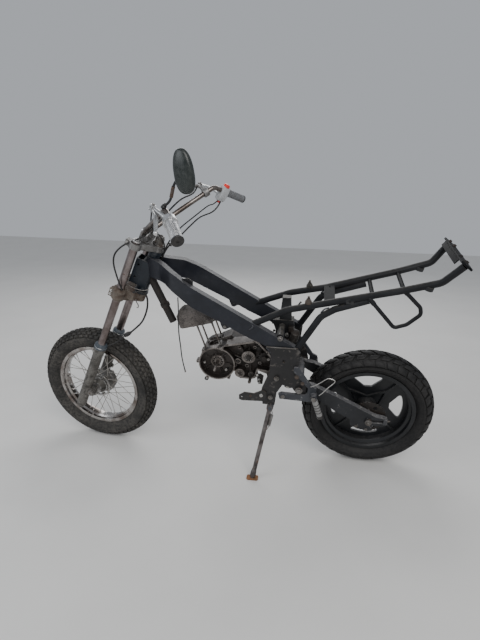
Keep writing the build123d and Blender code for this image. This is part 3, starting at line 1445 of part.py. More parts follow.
# Everything is moved together so that the origin lies under the middle of the whole bike.
placed = {label: part.moved(frame) for label, (part, frame) in pieces.items()}
boxes = [solid.bounding_box() for solid in placed.values()]
low_x, high_x = min(b.min.X for b in boxes), max(b.max.X for b in boxes)
low_y, high_y = min(b.min.Y for b in boxes), max(b.max.Y for b in boxes)
ORIGIN = Location((-(low_x + high_x) / 2, -(low_y + high_y) / 2, 0))
for label, solid in placed.items():
    finished = solid.moved(ORIGIN)
    finished.label = label
    export_step(finished, f"parts/{label}.step")
print("pitch", PITCH, "origin", ORIGIN.position, "low", min(b.min.Z for b in boxes))
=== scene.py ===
import json
import math
import random

import bmesh
import bpy
from mathutils import Matrix, Vector, noise

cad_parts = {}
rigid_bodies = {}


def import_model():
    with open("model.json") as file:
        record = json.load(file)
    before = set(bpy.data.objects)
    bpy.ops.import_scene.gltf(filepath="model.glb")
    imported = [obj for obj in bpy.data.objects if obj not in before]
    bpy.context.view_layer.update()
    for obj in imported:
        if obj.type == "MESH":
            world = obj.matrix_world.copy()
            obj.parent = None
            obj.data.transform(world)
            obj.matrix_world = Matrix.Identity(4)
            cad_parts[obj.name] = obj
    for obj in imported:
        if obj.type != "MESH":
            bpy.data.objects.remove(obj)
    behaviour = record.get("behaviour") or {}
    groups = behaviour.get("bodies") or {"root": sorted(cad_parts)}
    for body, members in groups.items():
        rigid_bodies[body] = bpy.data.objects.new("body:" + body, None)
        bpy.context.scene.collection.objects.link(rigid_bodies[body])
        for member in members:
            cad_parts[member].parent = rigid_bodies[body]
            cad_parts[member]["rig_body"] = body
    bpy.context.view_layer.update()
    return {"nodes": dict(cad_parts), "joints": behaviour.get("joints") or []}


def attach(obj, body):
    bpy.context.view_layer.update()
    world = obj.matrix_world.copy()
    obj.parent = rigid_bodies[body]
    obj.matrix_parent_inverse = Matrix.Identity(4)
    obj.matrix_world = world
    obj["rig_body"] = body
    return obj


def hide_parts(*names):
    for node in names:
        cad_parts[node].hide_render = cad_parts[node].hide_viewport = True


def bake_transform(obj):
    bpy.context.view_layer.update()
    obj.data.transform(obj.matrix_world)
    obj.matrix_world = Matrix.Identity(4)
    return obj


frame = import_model()
NODES = frame["nodes"]
JOINTS = {j["name"]: j for j in frame["joints"]}
random.seed(7)

# The bike's own frames, in millimetres: x ahead, y to the rider's left and z up along the bike or fork
MM = 0.001
RAKE = math.radians(24.07)
REAR_R = 300
AXLE_OFFSET = 30.4


def place_of(origin, *directions):
    """A matrix from a millimetre frame with these three directions to the row frame."""
    place = Matrix.Identity(4)
    for column, direction in enumerate(directions):
        for row in range(3):
            place[row][column] = direction[row] * MM
    for row in range(3):
        place[row][3] = origin[row]
    return place


def pivot(joint):
    """A joint's point and direction."""
    return Vector(JOINTS[joint]["pos_m"]), Vector(JOINTS[joint]["axis"]).normalized()


def shown(name, data):
    """A new object in the scene."""
    o = bpy.data.objects.new(name, data)
    bpy.context.collection.objects.link(o)
    return o


REAR_AT, SIDE = pivot("rear_wheel_spin")
FRONT_AT, FRONT_SIDE = pivot("front_wheel_spin")
FORK_UP = pivot("steering")[1]
level = (Vector((1, 0, 0)) - SIDE * SIDE.x).normalized()
upright = level.cross(SIDE)
tilt = math.atan2(-FORK_UP.dot(level), FORK_UP.dot(upright)) - RAKE
AHEAD = level * math.cos(tilt) + upright * math.sin(tilt)
UP = AHEAD.cross(SIDE)
BIKE = place_of(REAR_AT - UP * REAR_R * MM, AHEAD, SIDE, UP)
REAR = place_of(REAR_AT, AHEAD, SIDE, UP)
FORK = place_of(FRONT_AT, FRONT_SIDE.cross(FORK_UP), FRONT_SIDE, FORK_UP)


# Camera, light and floor
def turn(axis, angle):
    return Matrix.Rotation(angle, 3, axis)


SKY = (0.84, 0.88, 0.94, 1)
SKY_POWER = 0.5
FLOOR_SIZE = 14
FLOOR_AT = (0, 0, -0.0006)
YAW, PITCH, ROLL = 0.14794, 0.30017, 0.02055
PHOTO_WIDE = 480
FOCAL_PIXELS = 480.62
SENSOR = 36
CAMERA_AT = (-0.36194, 1.91339, 1.3361)
base = Matrix(((-1, 0, 0), (0, 0, -1), (0, -1, 0)))
right, down, ahead = turn("Z", ROLL) @ turn("X", PITCH) @ base @ turn("Z", YAW).transposed()
camera_data = bpy.data.cameras.new("camera")
camera_data.sensor_fit = "HORIZONTAL"
camera_data.sensor_width = SENSOR
camera_data.lens = FOCAL_PIXELS / PHOTO_WIDE * SENSOR
camera = shown("camera", camera_data)
camera.matrix_world = Matrix(
    [(right[row], -down[row], -ahead[row], CAMERA_AT[row]) for row in range(3)] + [(0, 0, 0, 1)]
)
bpy.context.scene.camera = camera

world = bpy.data.worlds.new("studio")
bpy.context.scene.world = world
world.use_nodes = True
background = world.node_tree.nodes["Background"]
background.inputs["Color"].default_value = SKY
background.inputs["Strength"].default_value = SKY_POWER


def area(name, place, aim, size, power, colour=(1, 1, 1)):
    """A soft rectangular light."""
    data = bpy.data.lights.new(name, "AREA")
    data.shape = "RECTANGLE"
    data.size, data.size_y = size
    data.energy = power
    data.color = colour
    o = shown(name, data)
    o.location = place
    o.rotation_euler = (Vector(aim) - Vector(place)).to_track_quat("-Z", "Y").to_euler()


area("key", (-1.6, 3.2, 3.4), (0, 0, 0.4), (2.6, 2.6), 110, (1, 0.98, 0.95))
area("fill", (2.8, 2.0, 2.2), (0, 0, 0.5), (2.4, 2.4), 45, (0.92, 0.96, 1))
area("back", (0.4, -3.2, 2.8), (0, 0, 0.5), (3, 2), 60)

bpy.ops.mesh.primitive_plane_add(size=FLOOR_SIZE, location=FLOOR_AT)
floor = bpy.context.object
floor.name = "floor"


# Materials
class Shader:
    """A node tree that is built one node at a time."""

    def __init__(self, name):
        self.material = bpy.data.materials.new(name)
        self.material.use_nodes = True
        self.tree = self.material.node_tree
        self.bsdf = self.tree.nodes["Principled BSDF"]
        self.place = self.add("ShaderNodeTexCoord").outputs["Object"]
        self.surface = self.add("ShaderNodeNewGeometry").outputs["Normal"]

    def add(self, kind, *values, settings=(), **inputs):
        """A node with its first inputs fed in order and others by name."""
        node = self.tree.nodes.new(kind)
        for key, value in dict(settings).items():
            setattr(node, key, value)
        for key, value in [*enumerate(values), *inputs.items()]:
            self.feed(node.inputs[key], value)
        return node

    def feed(self, socket, value):
        """A link to a socket, or its constant value; a colour gets its alpha."""
        if hasattr(value, "is_linked"):
            self.tree.links.new(value, socket)
        else:
            socket.default_value = (*value, 1) if isinstance(value, tuple) else value

    def noise(self, scale, detail, rough=0.55, distort=0.0):
        node = self.add("ShaderNodeTexNoise", Vector=self.place, Scale=scale, Detail=detail, Roughness=rough,
                        Distortion=distort)
        return node.outputs["Fac"]

    def spread(self, value, *limits, kind="LINEAR"):
        """A value between two limits, as a share, or spread between two more numbers."""
        settings = {"clamp": True, "interpolation_type": kind}
        return self.add("ShaderNodeMapRange", value, *limits, settings=settings).outputs[0]

    def ramp(self, value, low, high):
        return self.spread(value, low, high, kind="SMOOTHSTEP")

    def mix(self, share, first, second):
        node = self.add("ShaderNodeMix", share, settings={"data_type": "RGBA"})
        self.feed(node.inputs[6], first)
        self.feed(node.inputs[7], second)
        return node.outputs[2]

    def math(self, operation, first, second):
        settings = {"operation": operation, "use_clamp": True}
        return self.add("ShaderNodeMath", first, second, settings=settings).outputs[0]

    def times(self, first, second):
        return self.math("MULTIPLY", first, second)

    def bump(self, height, strength, distance, normal=None):
        under = {} if normal is None else {"Normal": normal}
        return self.add("ShaderNodeBump", Height=height, Strength=strength, Distance=distance, **under).outputs[0]

    def upward(self, low, high):
        """How far a surface faces up, for dust that has settled on it."""
        return self.ramp(self.add("ShaderNodeSeparateXYZ", self.surface).outputs[2], low, high)

    def edges(self, radius):
        """A normal that is rounded at sharp edges, and how near such an edge is."""
        rounded = self.add("ShaderNodeBevel", Radius=radius * MM, settings={"samples": 4}).outputs[0]
        alike = self.add("ShaderNodeVectorMath", rounded, self.surface, settings={"operation": "DOT_PRODUCT"})
        return rounded, self.ramp(self.math("SUBTRACT", 1.0, alike.outputs["Value"]), 0.02, 0.2)

    def finish(self, colour, rough, metal=0.0, normal=None, specular=None):
        for key, value in (("Base Color", colour), ("Roughness", rough), ("Metallic", metal), ("Normal", normal),
                           ("Specular IOR Level", specular)):
            if value is not None:
                self.feed(self.bsdf.inputs[key], value)
        return self.material


def scaled(colour, times, plus=0.0):
    """A lighter or darker colour."""
    return tuple(min(1.0, c * times + plus) for c in colour)


def floor_material():
    s = Shader("pale_floor")
    tone = s.noise(3, 3)
    return s.finish(s.mix(tone, (0.66, 0.65, 0.63), (0.74, 0.73, 0.71)), 0.85)


def painted(name, paint, dust, worn, dusty=0.5, wear=0.64, gloss=0.32, specular=0.45):
    """Old paint: settled dust, scuffs to the metal, rubbed edges and a slightly lumpy coat."""
    s = Shader(name)
    rounded, edge = s.edges(1.4)
    broad = s.noise(9, 5, 0.6)
    fine = s.noise(70, 6, 0.65)
    grit = s.noise(420, 3, 0.6)
    base = s.mix(s.ramp(broad, 0.35, 0.7), paint, scaled(paint, 1.6, 0.003))
    settled = s.times(s.upward(0.4, 0.97), s.ramp(fine, 0.28, 0.6))
    film = s.times(s.times(s.ramp(broad, 0.42, 0.72), s.ramp(fine, 0.4, 0.7)), 0.15)
    dusted = s.times(s.math("MAXIMUM", settled, film), dusty)
    base = s.mix(dusted, base, dust)
    rubbed = s.times(edge, s.ramp(fine, 0.42, 0.6))
    chips = s.math("MAXIMUM", s.ramp(s.noise(38, 8, 0.72, distort=0.4), wear, wear + 0.03), rubbed)
    base = s.mix(s.times(chips, 0.75), base, worn)
    rough = s.spread(s.math("ADD", dusted, s.times(grit, 0.3)), 0, 1, gloss, 0.92)
    normal = s.bump(grit, 0.2, 0.0005, s.bump(fine, 0.22, 0.0009, rounded))
    return s.finish(base, rough, 0.0, normal, specular=specular)


def metal(name, bright, dull, rust, rough=(0.3, 0.6), rusty=0.62):
    """Bare or plated metal with a dull film, brown specks, bright edges and fine scratches."""
    s = Shader(name)
    rounded, edge = s.edges(0.9)
    broad = s.noise(14, 5, 0.6)
    fine = s.noise(160, 6, 0.7)
    lines = s.noise(260, 2, 0.5)
    base = s.mix(s.ramp(broad, 0.35, 0.68), bright, dull)
    specks = s.ramp(s.noise(60, 8, 0.75, distort=0.3), rusty, rusty + 0.08)
    base = s.mix(specks, base, rust)
    film = s.times(s.ramp(fine, 0.5, 0.75), 0.35)
    base = s.mix(film, base, scaled(rust, 0.8))
    base = s.mix(s.times(edge, 0.5), base, scaled(bright, 1.25))
    shine = s.spread(s.math("MAXIMUM", specks, film), 0, 1, 1, 0.1)
    patches = s.math("ADD", s.times(broad, 0.6), s.times(lines, 0.5))
    roughness = s.spread(patches, 0.2, 0.9, rough[0], rough[1])
    normal = s.bump(lines, 0.08, 0.0004, s.bump(specks, 0.3, 0.0004, rounded))
    return s.finish(base, roughness, shine, normal)


def cast(name, colour, dark, grime, rough=0.7, shine=0.55, oil=0.5, pitted=0.0):
    """Sand-cast alloy: grainy, rubbed at its edges, stained with old oil and perhaps pitted."""
    s = Shader(name)
    rounded, edge = s.edges(1.6)
    broad = s.noise(11, 6, 0.62)
    grain = s.noise(340, 4, 0.6)
    lumps = s.noise(60, 4, 0.6)
    base = s.mix(s.ramp(broad, 0.3, 0.7), colour, dark)
    stains = s.ramp(s.noise(24, 8, 0.7, distort=0.6), oil, oil + 0.16)
    base = s.mix(stains, base, grime)
    rubbed = scaled(colour, 2, 0.05)
    base = s.mix(s.times(edge, s.ramp(lumps, 0.36, 0.6)), base, rubbed)
    if pitted:
        pits = s.noise(190, 5, 0.7)
        base = s.mix(s.times(s.ramp(pits, 0.56, 0.64), pitted), base, grime)
        base = s.mix(s.times(s.ramp(pits, 0.44, 0.36), pitted * 0.6), base, scaled(colour, 2))
        rounded = s.bump(pits, 0.6, 0.003, rounded)
    patches = s.math("ADD", s.times(grain, 0.4), s.times(broad, 0.5))
    roughness = s.spread(patches, 0.2, 0.8, rough - 0.2, rough + 0.15)
    normal = s.bump(grain, 0.4, 0.0007, s.bump(lumps, 0.25, 0.0012, rounded))
    return s.finish(base, roughness, s.spread(stains, 0, 1, shine, 0.1), normal)


def rusted(name, base_colour, rust, dark, rough=0.85, share=0.42):
    """Steel that is mostly gone to rust, in flakes and runs."""
    s = Shader(name)
    rounded, edge = s.edges(1.2)
    broad = s.noise(16, 7, 0.65, distort=0.5)
    flakes = s.noise(120, 8, 0.75)
    grain = s.noise(500, 3, 0.6)
    base = s.mix(s.ramp(broad, share, share + 0.2), base_colour, rust)
    base = s.mix(s.times(s.ramp(flakes, 0.5, 0.7), 0.7), base, dark)
    base = s.mix(s.times(edge, 0.45), base, scaled(base_colour, 1.5))
    roughness = s.spread(flakes, 0.2, 0.8, rough - 0.2, rough + 0.1)
    normal = s.bump(grain, 0.4, 0.0006, s.bump(flakes, 0.5, 0.0012, rounded))
    return s.finish(base, roughness, s.spread(broad, share, share + 0.2, 0.5, 0.05), normal)


def rubber(name, colour, dust, dusty=0.5, rough=0.8, edging=0.6):
    """Rubber with pale dust in its pores, along its edges and in its scuffs."""
    s = Shader(name)
    edge = s.edges(1.5)[1]
    broad = s.noise(8, 5, 0.6)
    fine = s.noise(90, 7, 0.7)
    grain = s.noise(600, 2, 0.5)
    film = s.times(s.times(s.ramp(broad, 0.25, 0.7), s.ramp(fine, 0.35, 0.62)), dusty)
    rim = s.times(s.times(edge, edging), s.ramp(fine, 0.3, 0.6))
    share = s.math("MAXIMUM", film, rim)
    normal = s.bump(grain, 0.2, 0.0004, s.bump(fine, 0.2, 0.0006))
    return s.finish(s.mix(share, colour, dust), s.spread(share, 0, 0.6, rough - 0.12, rough + 0.15), 0.0, normal,
                    specular=0.35)


def plastic(name, colour, dust, dusty=0.4, rough=0.5):
    """Moulded plastic with a fine grain, smeared dirt and rubbed edges."""
    s = Shader(name)
    rounded, edge = s.edges(1.0)
    fine = s.noise(60, 6, 0.7)
    grain = s.noise(700, 2, 0.5)
    share = s.times(s.ramp(fine, 0.35, 0.7), dusty)
    base = s.mix(share, colour, dust)
    base = s.mix(s.times(edge, 0.25), base, scaled(colour, 2, 0.03))
    return s.finish(base, s.spread(share, 0, 0.5, rough, rough + 0.3), 0.0, s.bump(grain, 0.15, 0.0003, rounded))


DUST = (0.30, 0.27, 0.23)
PALE = (0.30, 0.29, 0.29)
RUST = (0.15, 0.075, 0.04)
PAINTED = {
    # paint, dust and bare metal; how dusty, worn, glossy and specular
    "frame_paint": ((0.0035, 0.0048, 0.0095), PALE, (0.17, 0.17, 0.18), 0.26, 0.71, 0.24),
    "black_paint": ((0.0065, 0.007, 0.0085), DUST, (0.12, 0.105, 0.09), 0.3, 0.66, 0.34),
    "wheel_paint": ((0.0055, 0.0062, 0.0075), (0.14, 0.135, 0.13), (0.05, 0.045, 0.04), 0.25, 0.7, 0.26),
    "arm_paint": ((0.007, 0.0078, 0.01), DUST, (0.2, 0.195, 0.19), 0.25, 0.64, 0.32),
    "ridge_paint": ((0.035, 0.036, 0.04), PALE, (0.3, 0.29, 0.28), 0.34, 0.56, 0.36),
    "bracket_paint": ((0.026, 0.028, 0.034), PALE, (0.2, 0.2, 0.2), 0.32, 0.6, 0.36),
    "head_paint": ((0.0042, 0.008, 0.0135), PALE, (0.11, 0.12, 0.13), 0.3, 0.68, 0.26),
    "plate_paint": ((0.0085, 0.008, 0.0085), (0.13, 0.105, 0.085), (0.1, 0.088, 0.08), 0.55, 0.58, 0.4),
    "tail_paint": ((0.004, 0.0045, 0.0055), DUST, (0.05, 0.044, 0.04), 0.03, 0.7, 0.55, 0.1),
    "rail_paint": ((0.0055, 0.006, 0.0075), DUST, (0.1, 0.09, 0.085), 0.12, 0.67, 0.4, 0.25),
}
METAL = {
    # bright, dull and rust; how rough, from and to; how clean
    "chrome_rim": ((0.42, 0.4, 0.385), (0.17, 0.14, 0.125), (0.08, 0.052, 0.038), (0.05, 0.26), 0.58),
    "chrome_bar": ((0.24, 0.215, 0.2), (0.1, 0.082, 0.072), (0.07, 0.042, 0.03), (0.16, 0.4), 0.58),
    "spoke_steel": ((0.5, 0.48, 0.45), (0.28, 0.25, 0.22), RUST, (0.28, 0.5), 0.6),
    "steel_bright": ((0.6, 0.59, 0.57), (0.38, 0.36, 0.34), RUST, (0.2, 0.42), 0.64),
    "steel_bare": ((0.25, 0.24, 0.23), (0.11, 0.1, 0.09), RUST, (0.3, 0.6), 0.58),
    "stanchion": ((0.29, 0.25, 0.245), (0.15, 0.12, 0.112), (0.09, 0.052, 0.04), (0.2, 0.42), 0.57),
    "grip_silver": ((0.66, 0.66, 0.67), (0.42, 0.42, 0.42), (0.12, 0.11, 0.1), (0.22, 0.45), 0.6),
    "alloy_bright": ((0.66, 0.66, 0.66), (0.45, 0.45, 0.44), (0.16, 0.14, 0.12), (0.2, 0.42), 0.66),
    "machined": ((0.3, 0.275, 0.26), (0.13, 0.112, 0.1), (0.03, 0.023, 0.019), (0.34, 0.6), 0.52),
    "stand_steel": ((0.2, 0.185, 0.18), (0.022, 0.019, 0.019), (0.12, 0.048, 0.022), (0.3, 0.6), 0.55),
    "mirror_glass": ((0.82, 0.84, 0.85), (0.7, 0.72, 0.73), (0.4, 0.38, 0.35), (0.04, 0.14), 0.72),
}
CAST = {
    # colour, dark and grime; how rough, shiny, clean and pitted
    "alloy_hub": ((0.5, 0.49, 0.48), (0.27, 0.26, 0.25), (0.07, 0.06, 0.055), 0.5, 0.85, 0.52),
    "hub_dark": ((0.16, 0.155, 0.145), (0.075, 0.068, 0.06), (0.026, 0.022, 0.019), 0.55, 0.6, 0.5),
    "yoke_alloy": ((0.27, 0.265, 0.26), (0.12, 0.112, 0.105), (0.04, 0.033, 0.028), 0.55, 0.8, 0.5),
    "leg_alloy": ((0.19, 0.18, 0.165), (0.07, 0.064, 0.057), (0.02, 0.017, 0.014), 0.6, 0.5, 0.5, 0.6),
    "case_alloy": ((0.072, 0.062, 0.057), (0.034, 0.028, 0.025), (0.014, 0.0115, 0.01), 0.46, 0.65, 0.48),
    "head_alloy": ((0.135, 0.118, 0.108), (0.055, 0.046, 0.041), (0.012, 0.01, 0.009), 0.85, 0.2, 0.5, 0.9),
    "peg_alloy": ((0.36, 0.355, 0.35), (0.22, 0.215, 0.21), (0.07, 0.06, 0.055), 0.65, 0.6, 0.56),
}
RUSTED = {
    # steel, rust and dark; how rough; how much is still steel
    "rust_brown": ((0.1, 0.083, 0.072), (0.085, 0.045, 0.028), (0.024, 0.016, 0.012)),
    "rust_dark": ((0.035, 0.031, 0.029), (0.05, 0.029, 0.02), (0.009, 0.007, 0.006), 0.7, 0.5),
    "rust_beige": ((0.17, 0.145, 0.12), (0.07, 0.044, 0.031), (0.018, 0.013, 0.01), 0.8, 0.4),
    "rust_orange": ((0.24, 0.125, 0.06), (0.26, 0.105, 0.038), (0.07, 0.032, 0.018)),
    "oily_steel": ((0.03, 0.027, 0.025), (0.022, 0.015, 0.011), (0.006, 0.005, 0.004), 0.5),
}
RUBBER = {
    # colour and dust; how dusty and rough; how pale its edges
    "tyre": ((0.014, 0.0135, 0.013), (0.16, 0.146, 0.13), 0.5, 0.8, 0.5),
    "tyre_block": ((0.034, 0.032, 0.03), (0.23, 0.21, 0.185), 0.52, 0.8, 0.8),
    "tyre_rear": ((0.0055, 0.0055, 0.006), (0.1, 0.092, 0.085), 0.2, 0.7, 0.3),
    "rear_block": ((0.036, 0.0345, 0.0335), (0.21, 0.195, 0.18), 0.55, 0.72, 0.9),
    "cable_black": ((0.0065, 0.0065, 0.0072), (0.09, 0.082, 0.075), 0.3, 0.42, 0.2),
    "seal_grey": ((0.04, 0.052, 0.066), (0.2, 0.205, 0.21), 0.35, 0.5, 0.6),
    "stack_black": ((0.008, 0.008, 0.008), DUST, 0.34, 0.7, 0.5),
    # painted shade: a near-black finish for the discs and rods that stand for the shade inside holes
    "hole_dark": ((0.003, 0.003, 0.003), (0.014, 0.012, 0.01), 0.3, 0.8, 0.1),
}
PLASTIC = {
    # colour and dirt; how dirty and rough
    "grip_grey": ((0.15, 0.155, 0.165), (0.09, 0.085, 0.08), 0.5, 0.45),
    "black_plastic": ((0.0075, 0.0075, 0.0085), (0.1, 0.09, 0.08), 0.3, 0.36),
    "mirror_back": ((0.01, 0.0145, 0.0135), (0.085, 0.09, 0.085), 0.26, 0.26),
    "switch_grey": ((0.44, 0.455, 0.47), (0.2, 0.18, 0.16), 0.34, 0.36),
    "button_red": ((0.7, 0.022, 0.012), (0.35, 0.1, 0.07), 0.12, 0.3),
}
MAKERS = (
    (painted, PAINTED), (metal, METAL), (cast, CAST),
    (rusted, RUSTED), (rubber, RUBBER), (plastic, PLASTIC),
)
MATS = {}
for maker, table in MAKERS:
    for name, values in table.items():
        MATS[name] = maker(name, *values)
floor.data.materials.append(floor_material())


def dress(material, *names):
    """Gives CAD nodes their finish."""
    for name in names:
        o = NODES[name]
        if not o.data.materials:
            o.data.materials.append(MATS[material])
        for slot in o.material_slots:
            slot.material = MATS[material]


# Building pieces
X, Y, Z = Vector((1, 0, 0)), Vector((0, 1, 0)), Vector((0, 0, 1))
SIDES = (-1, 1)


def turns(count):
    """Angles that share out a full turn."""
    return [2 * math.pi * k / count for k in range(count)]


def polar(radius, degrees, y=0, centre=(0, 0)):
    """A point at a distance and an angle from a centre in the side view."""
    a = math.radians(degrees)
    return Vector((centre[0] + radius * math.cos(a), y, centre[1] + radius * math.sin(a)))


def sided(side, points):
    """Points given for the left, on one side or the other."""
    return [(x, side * y, z) for x, y, z in points]


def squared(value, power):
    """A sine or cosine that lingers near its limits, which squares a ring's corners."""
    return math.copysign(abs(value) ** power, value)


def around(centre, axis, radius, sides):
    """Points of a ring about an axis."""
    axis = Vector(axis).normalized()
    across = axis.orthogonal().normalized()
    up = axis.cross(across)
    return [Vector(centre) + (across * math.cos(a) + up * math.sin(a)) * radius for a in turns(sides)]


def smooth_path(points, steps=8):
    """Points on a smooth line through the given ones."""
    points = [Vector(p) for p in points]
    points = [points[0] * 2 - points[1]] + points + [points[-1] * 2 - points[-2]]
    path = []
    for a, b, c, d in zip(points, points[1:], points[2:], points[3:]):
        for k in range(steps):
            t = k / steps
            start = b * 2 + (c - a) * t + (a * 2 - b * 5 + c * 4 - d) * t**2
            path.append((start + (b * 3 - a - c * 3 + d) * t**3) / 2)
    return path + [points[-2]]


def helix(start, end, radius, coils, per_turn):
    """A coil's line from one point to another."""
    start, end = Vector(start), Vector(end)
    axis = (end - start).normalized()
    across = axis.orthogonal().normalized()
    up = axis.cross(across)
    count = int(coils * per_turn)
    points = []
    for k in range(count + 1):
        a = 2 * math.pi * k / per_turn
        points.append(start.lerp(end, k / count) + (across * math.cos(a) + up * math.sin(a)) * radius)
    return points


def thread(radius, long, pitch):
    """A turned profile with a screw's ridges."""
    profile = []
    for k in range(int(long / pitch)):
        profile += [(k * pitch, radius * 0.88), ((k + 0.5) * pitch, radius)]
    return profile + [(long, radius * 0.8)]


# A bolt's washer and socket, as shares of the radius of its head, and how deep heads sink into their faces
WASHER_R = 1.32
WASHER_DEEP = 0.24
SOCKET_R = 0.52
SINK = 0.3


class Form:
    """A piece drawn in millimetres in one of the bike's frames; finish_forms sets it in the row frame."""

    drawn = []

    def __init__(self, name, material, body, place, *replaces, smooth=38, second=None):
        self.piece = name, material, body, replaces, smooth, second
        self.place = place
        self.mesh = bmesh.new()
        Form.drawn.append(self)

    def skin(self, rings, loop=False):
        """Faces between rows of points, closed round each row, and capped at both ends or joined to a loop."""
        rows = [[self.mesh.verts.new(p) for p in ring] for ring in rings]
        pairs = list(zip(rows, rows[1:]))
        if loop:
            pairs.append((rows[-1], rows[0]))
        for low, high in pairs:
            for k in range(len(low)):
                following = (k + 1) % len(low)
                self.mesh.faces.new((low[k], low[following], high[following], high[k]))
        if not loop:
            self.mesh.faces.new(list(reversed(rows[0])))
            self.mesh.faces.new(rows[-1])

    def turned(self, at, axis, profile, sides=24, loop=False):
        """A turned form: the profile gives each ring's distance along the axis and its radius."""
        at, axis = Vector(at), Vector(axis).normalized()
        self.skin([around(at + axis * along, axis, radius, sides) for along, radius in profile], loop)

    def rod(self, start, end, radius, sides=20, edge=0.7, last=None):
        """A round bar with broken edges."""
        last = radius if last is None else last
        axis = Vector(end) - Vector(start)
        long = axis.length
        profile = [(0, radius - edge), (edge, radius), (long - edge, last), (long, last - edge)]
        self.turned(start, axis, profile, sides)

    def pipe(self, at, axis, long, radius, bore, sides=24, edge=0.6):
        """A ring with a bore and broken edges."""
        outside = [(0, radius - edge), (edge, radius), (long - edge, radius), (long, radius - edge)]
        self.turned(at, axis, [(0, bore), *outside, (long, bore)], sides, loop=True)

    def tube(self, path, radius, sides=8, ripple=0.0, taper=1.0, flat=1.0, wide=None):
        """A wire or blade along points: a weld ripples, and a blade is wide one way and flat the other."""
        path = [Vector(p) for p in path]
        across = Vector(wide) if wide else (path[1] - path[0]).orthogonal().normalized()
        rings = []
        for k, point in enumerate(path):
            along = (path[min(k + 1, len(path) - 1)] - path[max(k - 1, 0)]).normalized()
            across = (across - along * across.dot(along)).normalized()
            up = along.cross(across)
            size = radius * (1 + ripple * (k % 2)) * (1 + (taper - 1) * k / (len(path) - 1))
            rings.append([point + (across * math.cos(a) + up * math.sin(a) * flat) * size for a in turns(sides)])
        self.skin(rings)

    def wire(self, points, radius, steps=8, sides=8, **rest):
        """A tube on a smooth line through points."""
        self.tube(smooth_path(points, steps), radius, sides, **rest)

    def bolt(self, at, axis, size, kind="hex", washer=True, stud=0.0):
        """A bolt's head or a nut on a face: size is its radius, and a nut shows its stud's end."""
        at, axis = Vector(at), Vector(axis).normalized()
        if washer:
            self.rod(at - axis * SINK, at + axis * size * WASHER_DEEP, size * WASHER_R, edge=0.25)
            at = at + axis * size * WASHER_DEEP
        sides, deep = (6, size * 0.8) if kind == "hex" else (18, size)
        profile = [(-SINK, size), (deep * 0.85, size), (deep, size * 0.84)]
        if kind != "hex":
            profile += [(deep, size * SOCKET_R), (deep * 0.45, size * SOCKET_R)]
        self.turned(at, axis, profile, sides)
        if stud:
            self.rod(at + axis * deep * 0.8, at + axis * (deep + stud), size * 0.5, 14, 0.6)

    def pair(self, x, y, z, size, *kind, **rest):
        """A bolt that faces out on the left, and its twin on the right."""
        for side in SIDES:
            self.bolt((x, side * y, z), Y * side, size, *kind, **rest)

    def plate(self, outline, low, high, edge=0.8):
        """A flat plate drawn in x and z and lying between two values of y, with broken edges."""
        middle = Vector((sum(x for x, z in outline), sum(z for x, z in outline))) / len(outline)
        inner = []
        for x, z in outline:
            pull = (middle - Vector((x, z))).normalized() * edge
            inner.append((x + pull.x, z + pull.y))
        rings = ((inner, low), (outline, low + edge), (outline, high - edge), (inner, high))
        self.skin([[(x, y, z) for x, z in points] for points, y in rings])

    def done(self):
        """The drawn mesh as a finished piece."""
        Form.drawn.remove(self)
        self.mesh.transform(self.place)
        bmesh.ops.recalc_face_normals(self.mesh, faces=self.mesh.faces)
        data = bpy.data.meshes.new(self.piece[0])
        self.mesh.to_mesh(data)
        self.mesh.free()
        return set_piece(data, *self.piece)


def steering(name, material, *replaces, **rest):
    """A form in the fork's frame that turns with the bar."""
    return Form(name, material, "steering", FORK, *replaces, **rest)


def chassis(name, material, *replaces, **rest):
    """A form in the bike's frame that stays with the chassis."""
    return Form(name, material, "chassis", BIKE, *replaces, **rest)


def finish_forms():
    """Every form that is still only drawn becomes its piece."""
    while Form.drawn:
        Form.drawn[0].done()


def set_piece(data, name, material, body, replaces, smooth, second=None):
    """A mesh becomes a finished piece on its body, or is baked in place when its body is a tuple, with a second
    finish for faces that ask for it.
    """
    o = shown(name, data)
    data.materials.clear()
    for finish in filter(None, (material, second)):
        data.materials.append(MATS[finish])
    data.polygons.foreach_set("use_smooth", [True] * len(data.polygons))
    data.set_sharp_from_angle(angle=math.radians(smooth))
    if isinstance(body, tuple):
        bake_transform(o)
    else:
        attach(o, body)
    if replaces:
        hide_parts(*replaces)
    return o


def roughen(name, material, voxel, lumps, height):
    """A CAD node's mesh, welded, cut into even cells and moved by noise, as a rough casting that replaces it."""
    mesh = bmesh.new()
    mesh.from_mesh(NODES[name].data)
    bmesh.ops.remove_doubles(mesh, verts=mesh.verts, dist=1e-5)
    bmesh.ops.dissolve_limit(mesh, angle_limit=math.radians(1), verts=mesh.verts, edges=mesh.edges)
    data = bpy.data.meshes.new(name)
    mesh.to_mesh(data)
    mesh.free()
    o = shown(name, data)
    remesh = o.modifiers.new("cells", "REMESH")
    remesh.mode = "VOXEL"
    remesh.voxel_size = voxel * MM
    smooth = o.modifiers.new("soft", "SMOOTH")
    smooth.factor = 0.5
    smooth.iterations = 4
    data = bpy.data.meshes.new_from_object(o.evaluated_get(bpy.context.evaluated_depsgraph_get()))
    bpy.data.objects.remove(o)
    for vertex in data.vertices:
        coarse = noise.noise(vertex.co * lumps)
        fine = noise.noise(vertex.co * lumps * 4.3)
        vertex.co += vertex.normal * (coarse + 0.45 * fine) * height * MM
    set_piece(data, f"{name}_rough", material, NODES[name]["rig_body"], (name,), 80)


def two_tone(first, second, name, chosen):
    """A node's own mesh, with a second finish on the faces that a test of normal and centre picks."""
    data = NODES[name].data.copy()
    data.materials.clear()
    data.materials.append(MATS[first])
    data.materials.append(MATS[second])
    for face in data.polygons:
        face.material_index = 1 if chosen(face.normal, face.center) else 0
    o = shown(f"{name}_dressed", data)
    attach(o, NODES[name]["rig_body"])
    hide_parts(name)


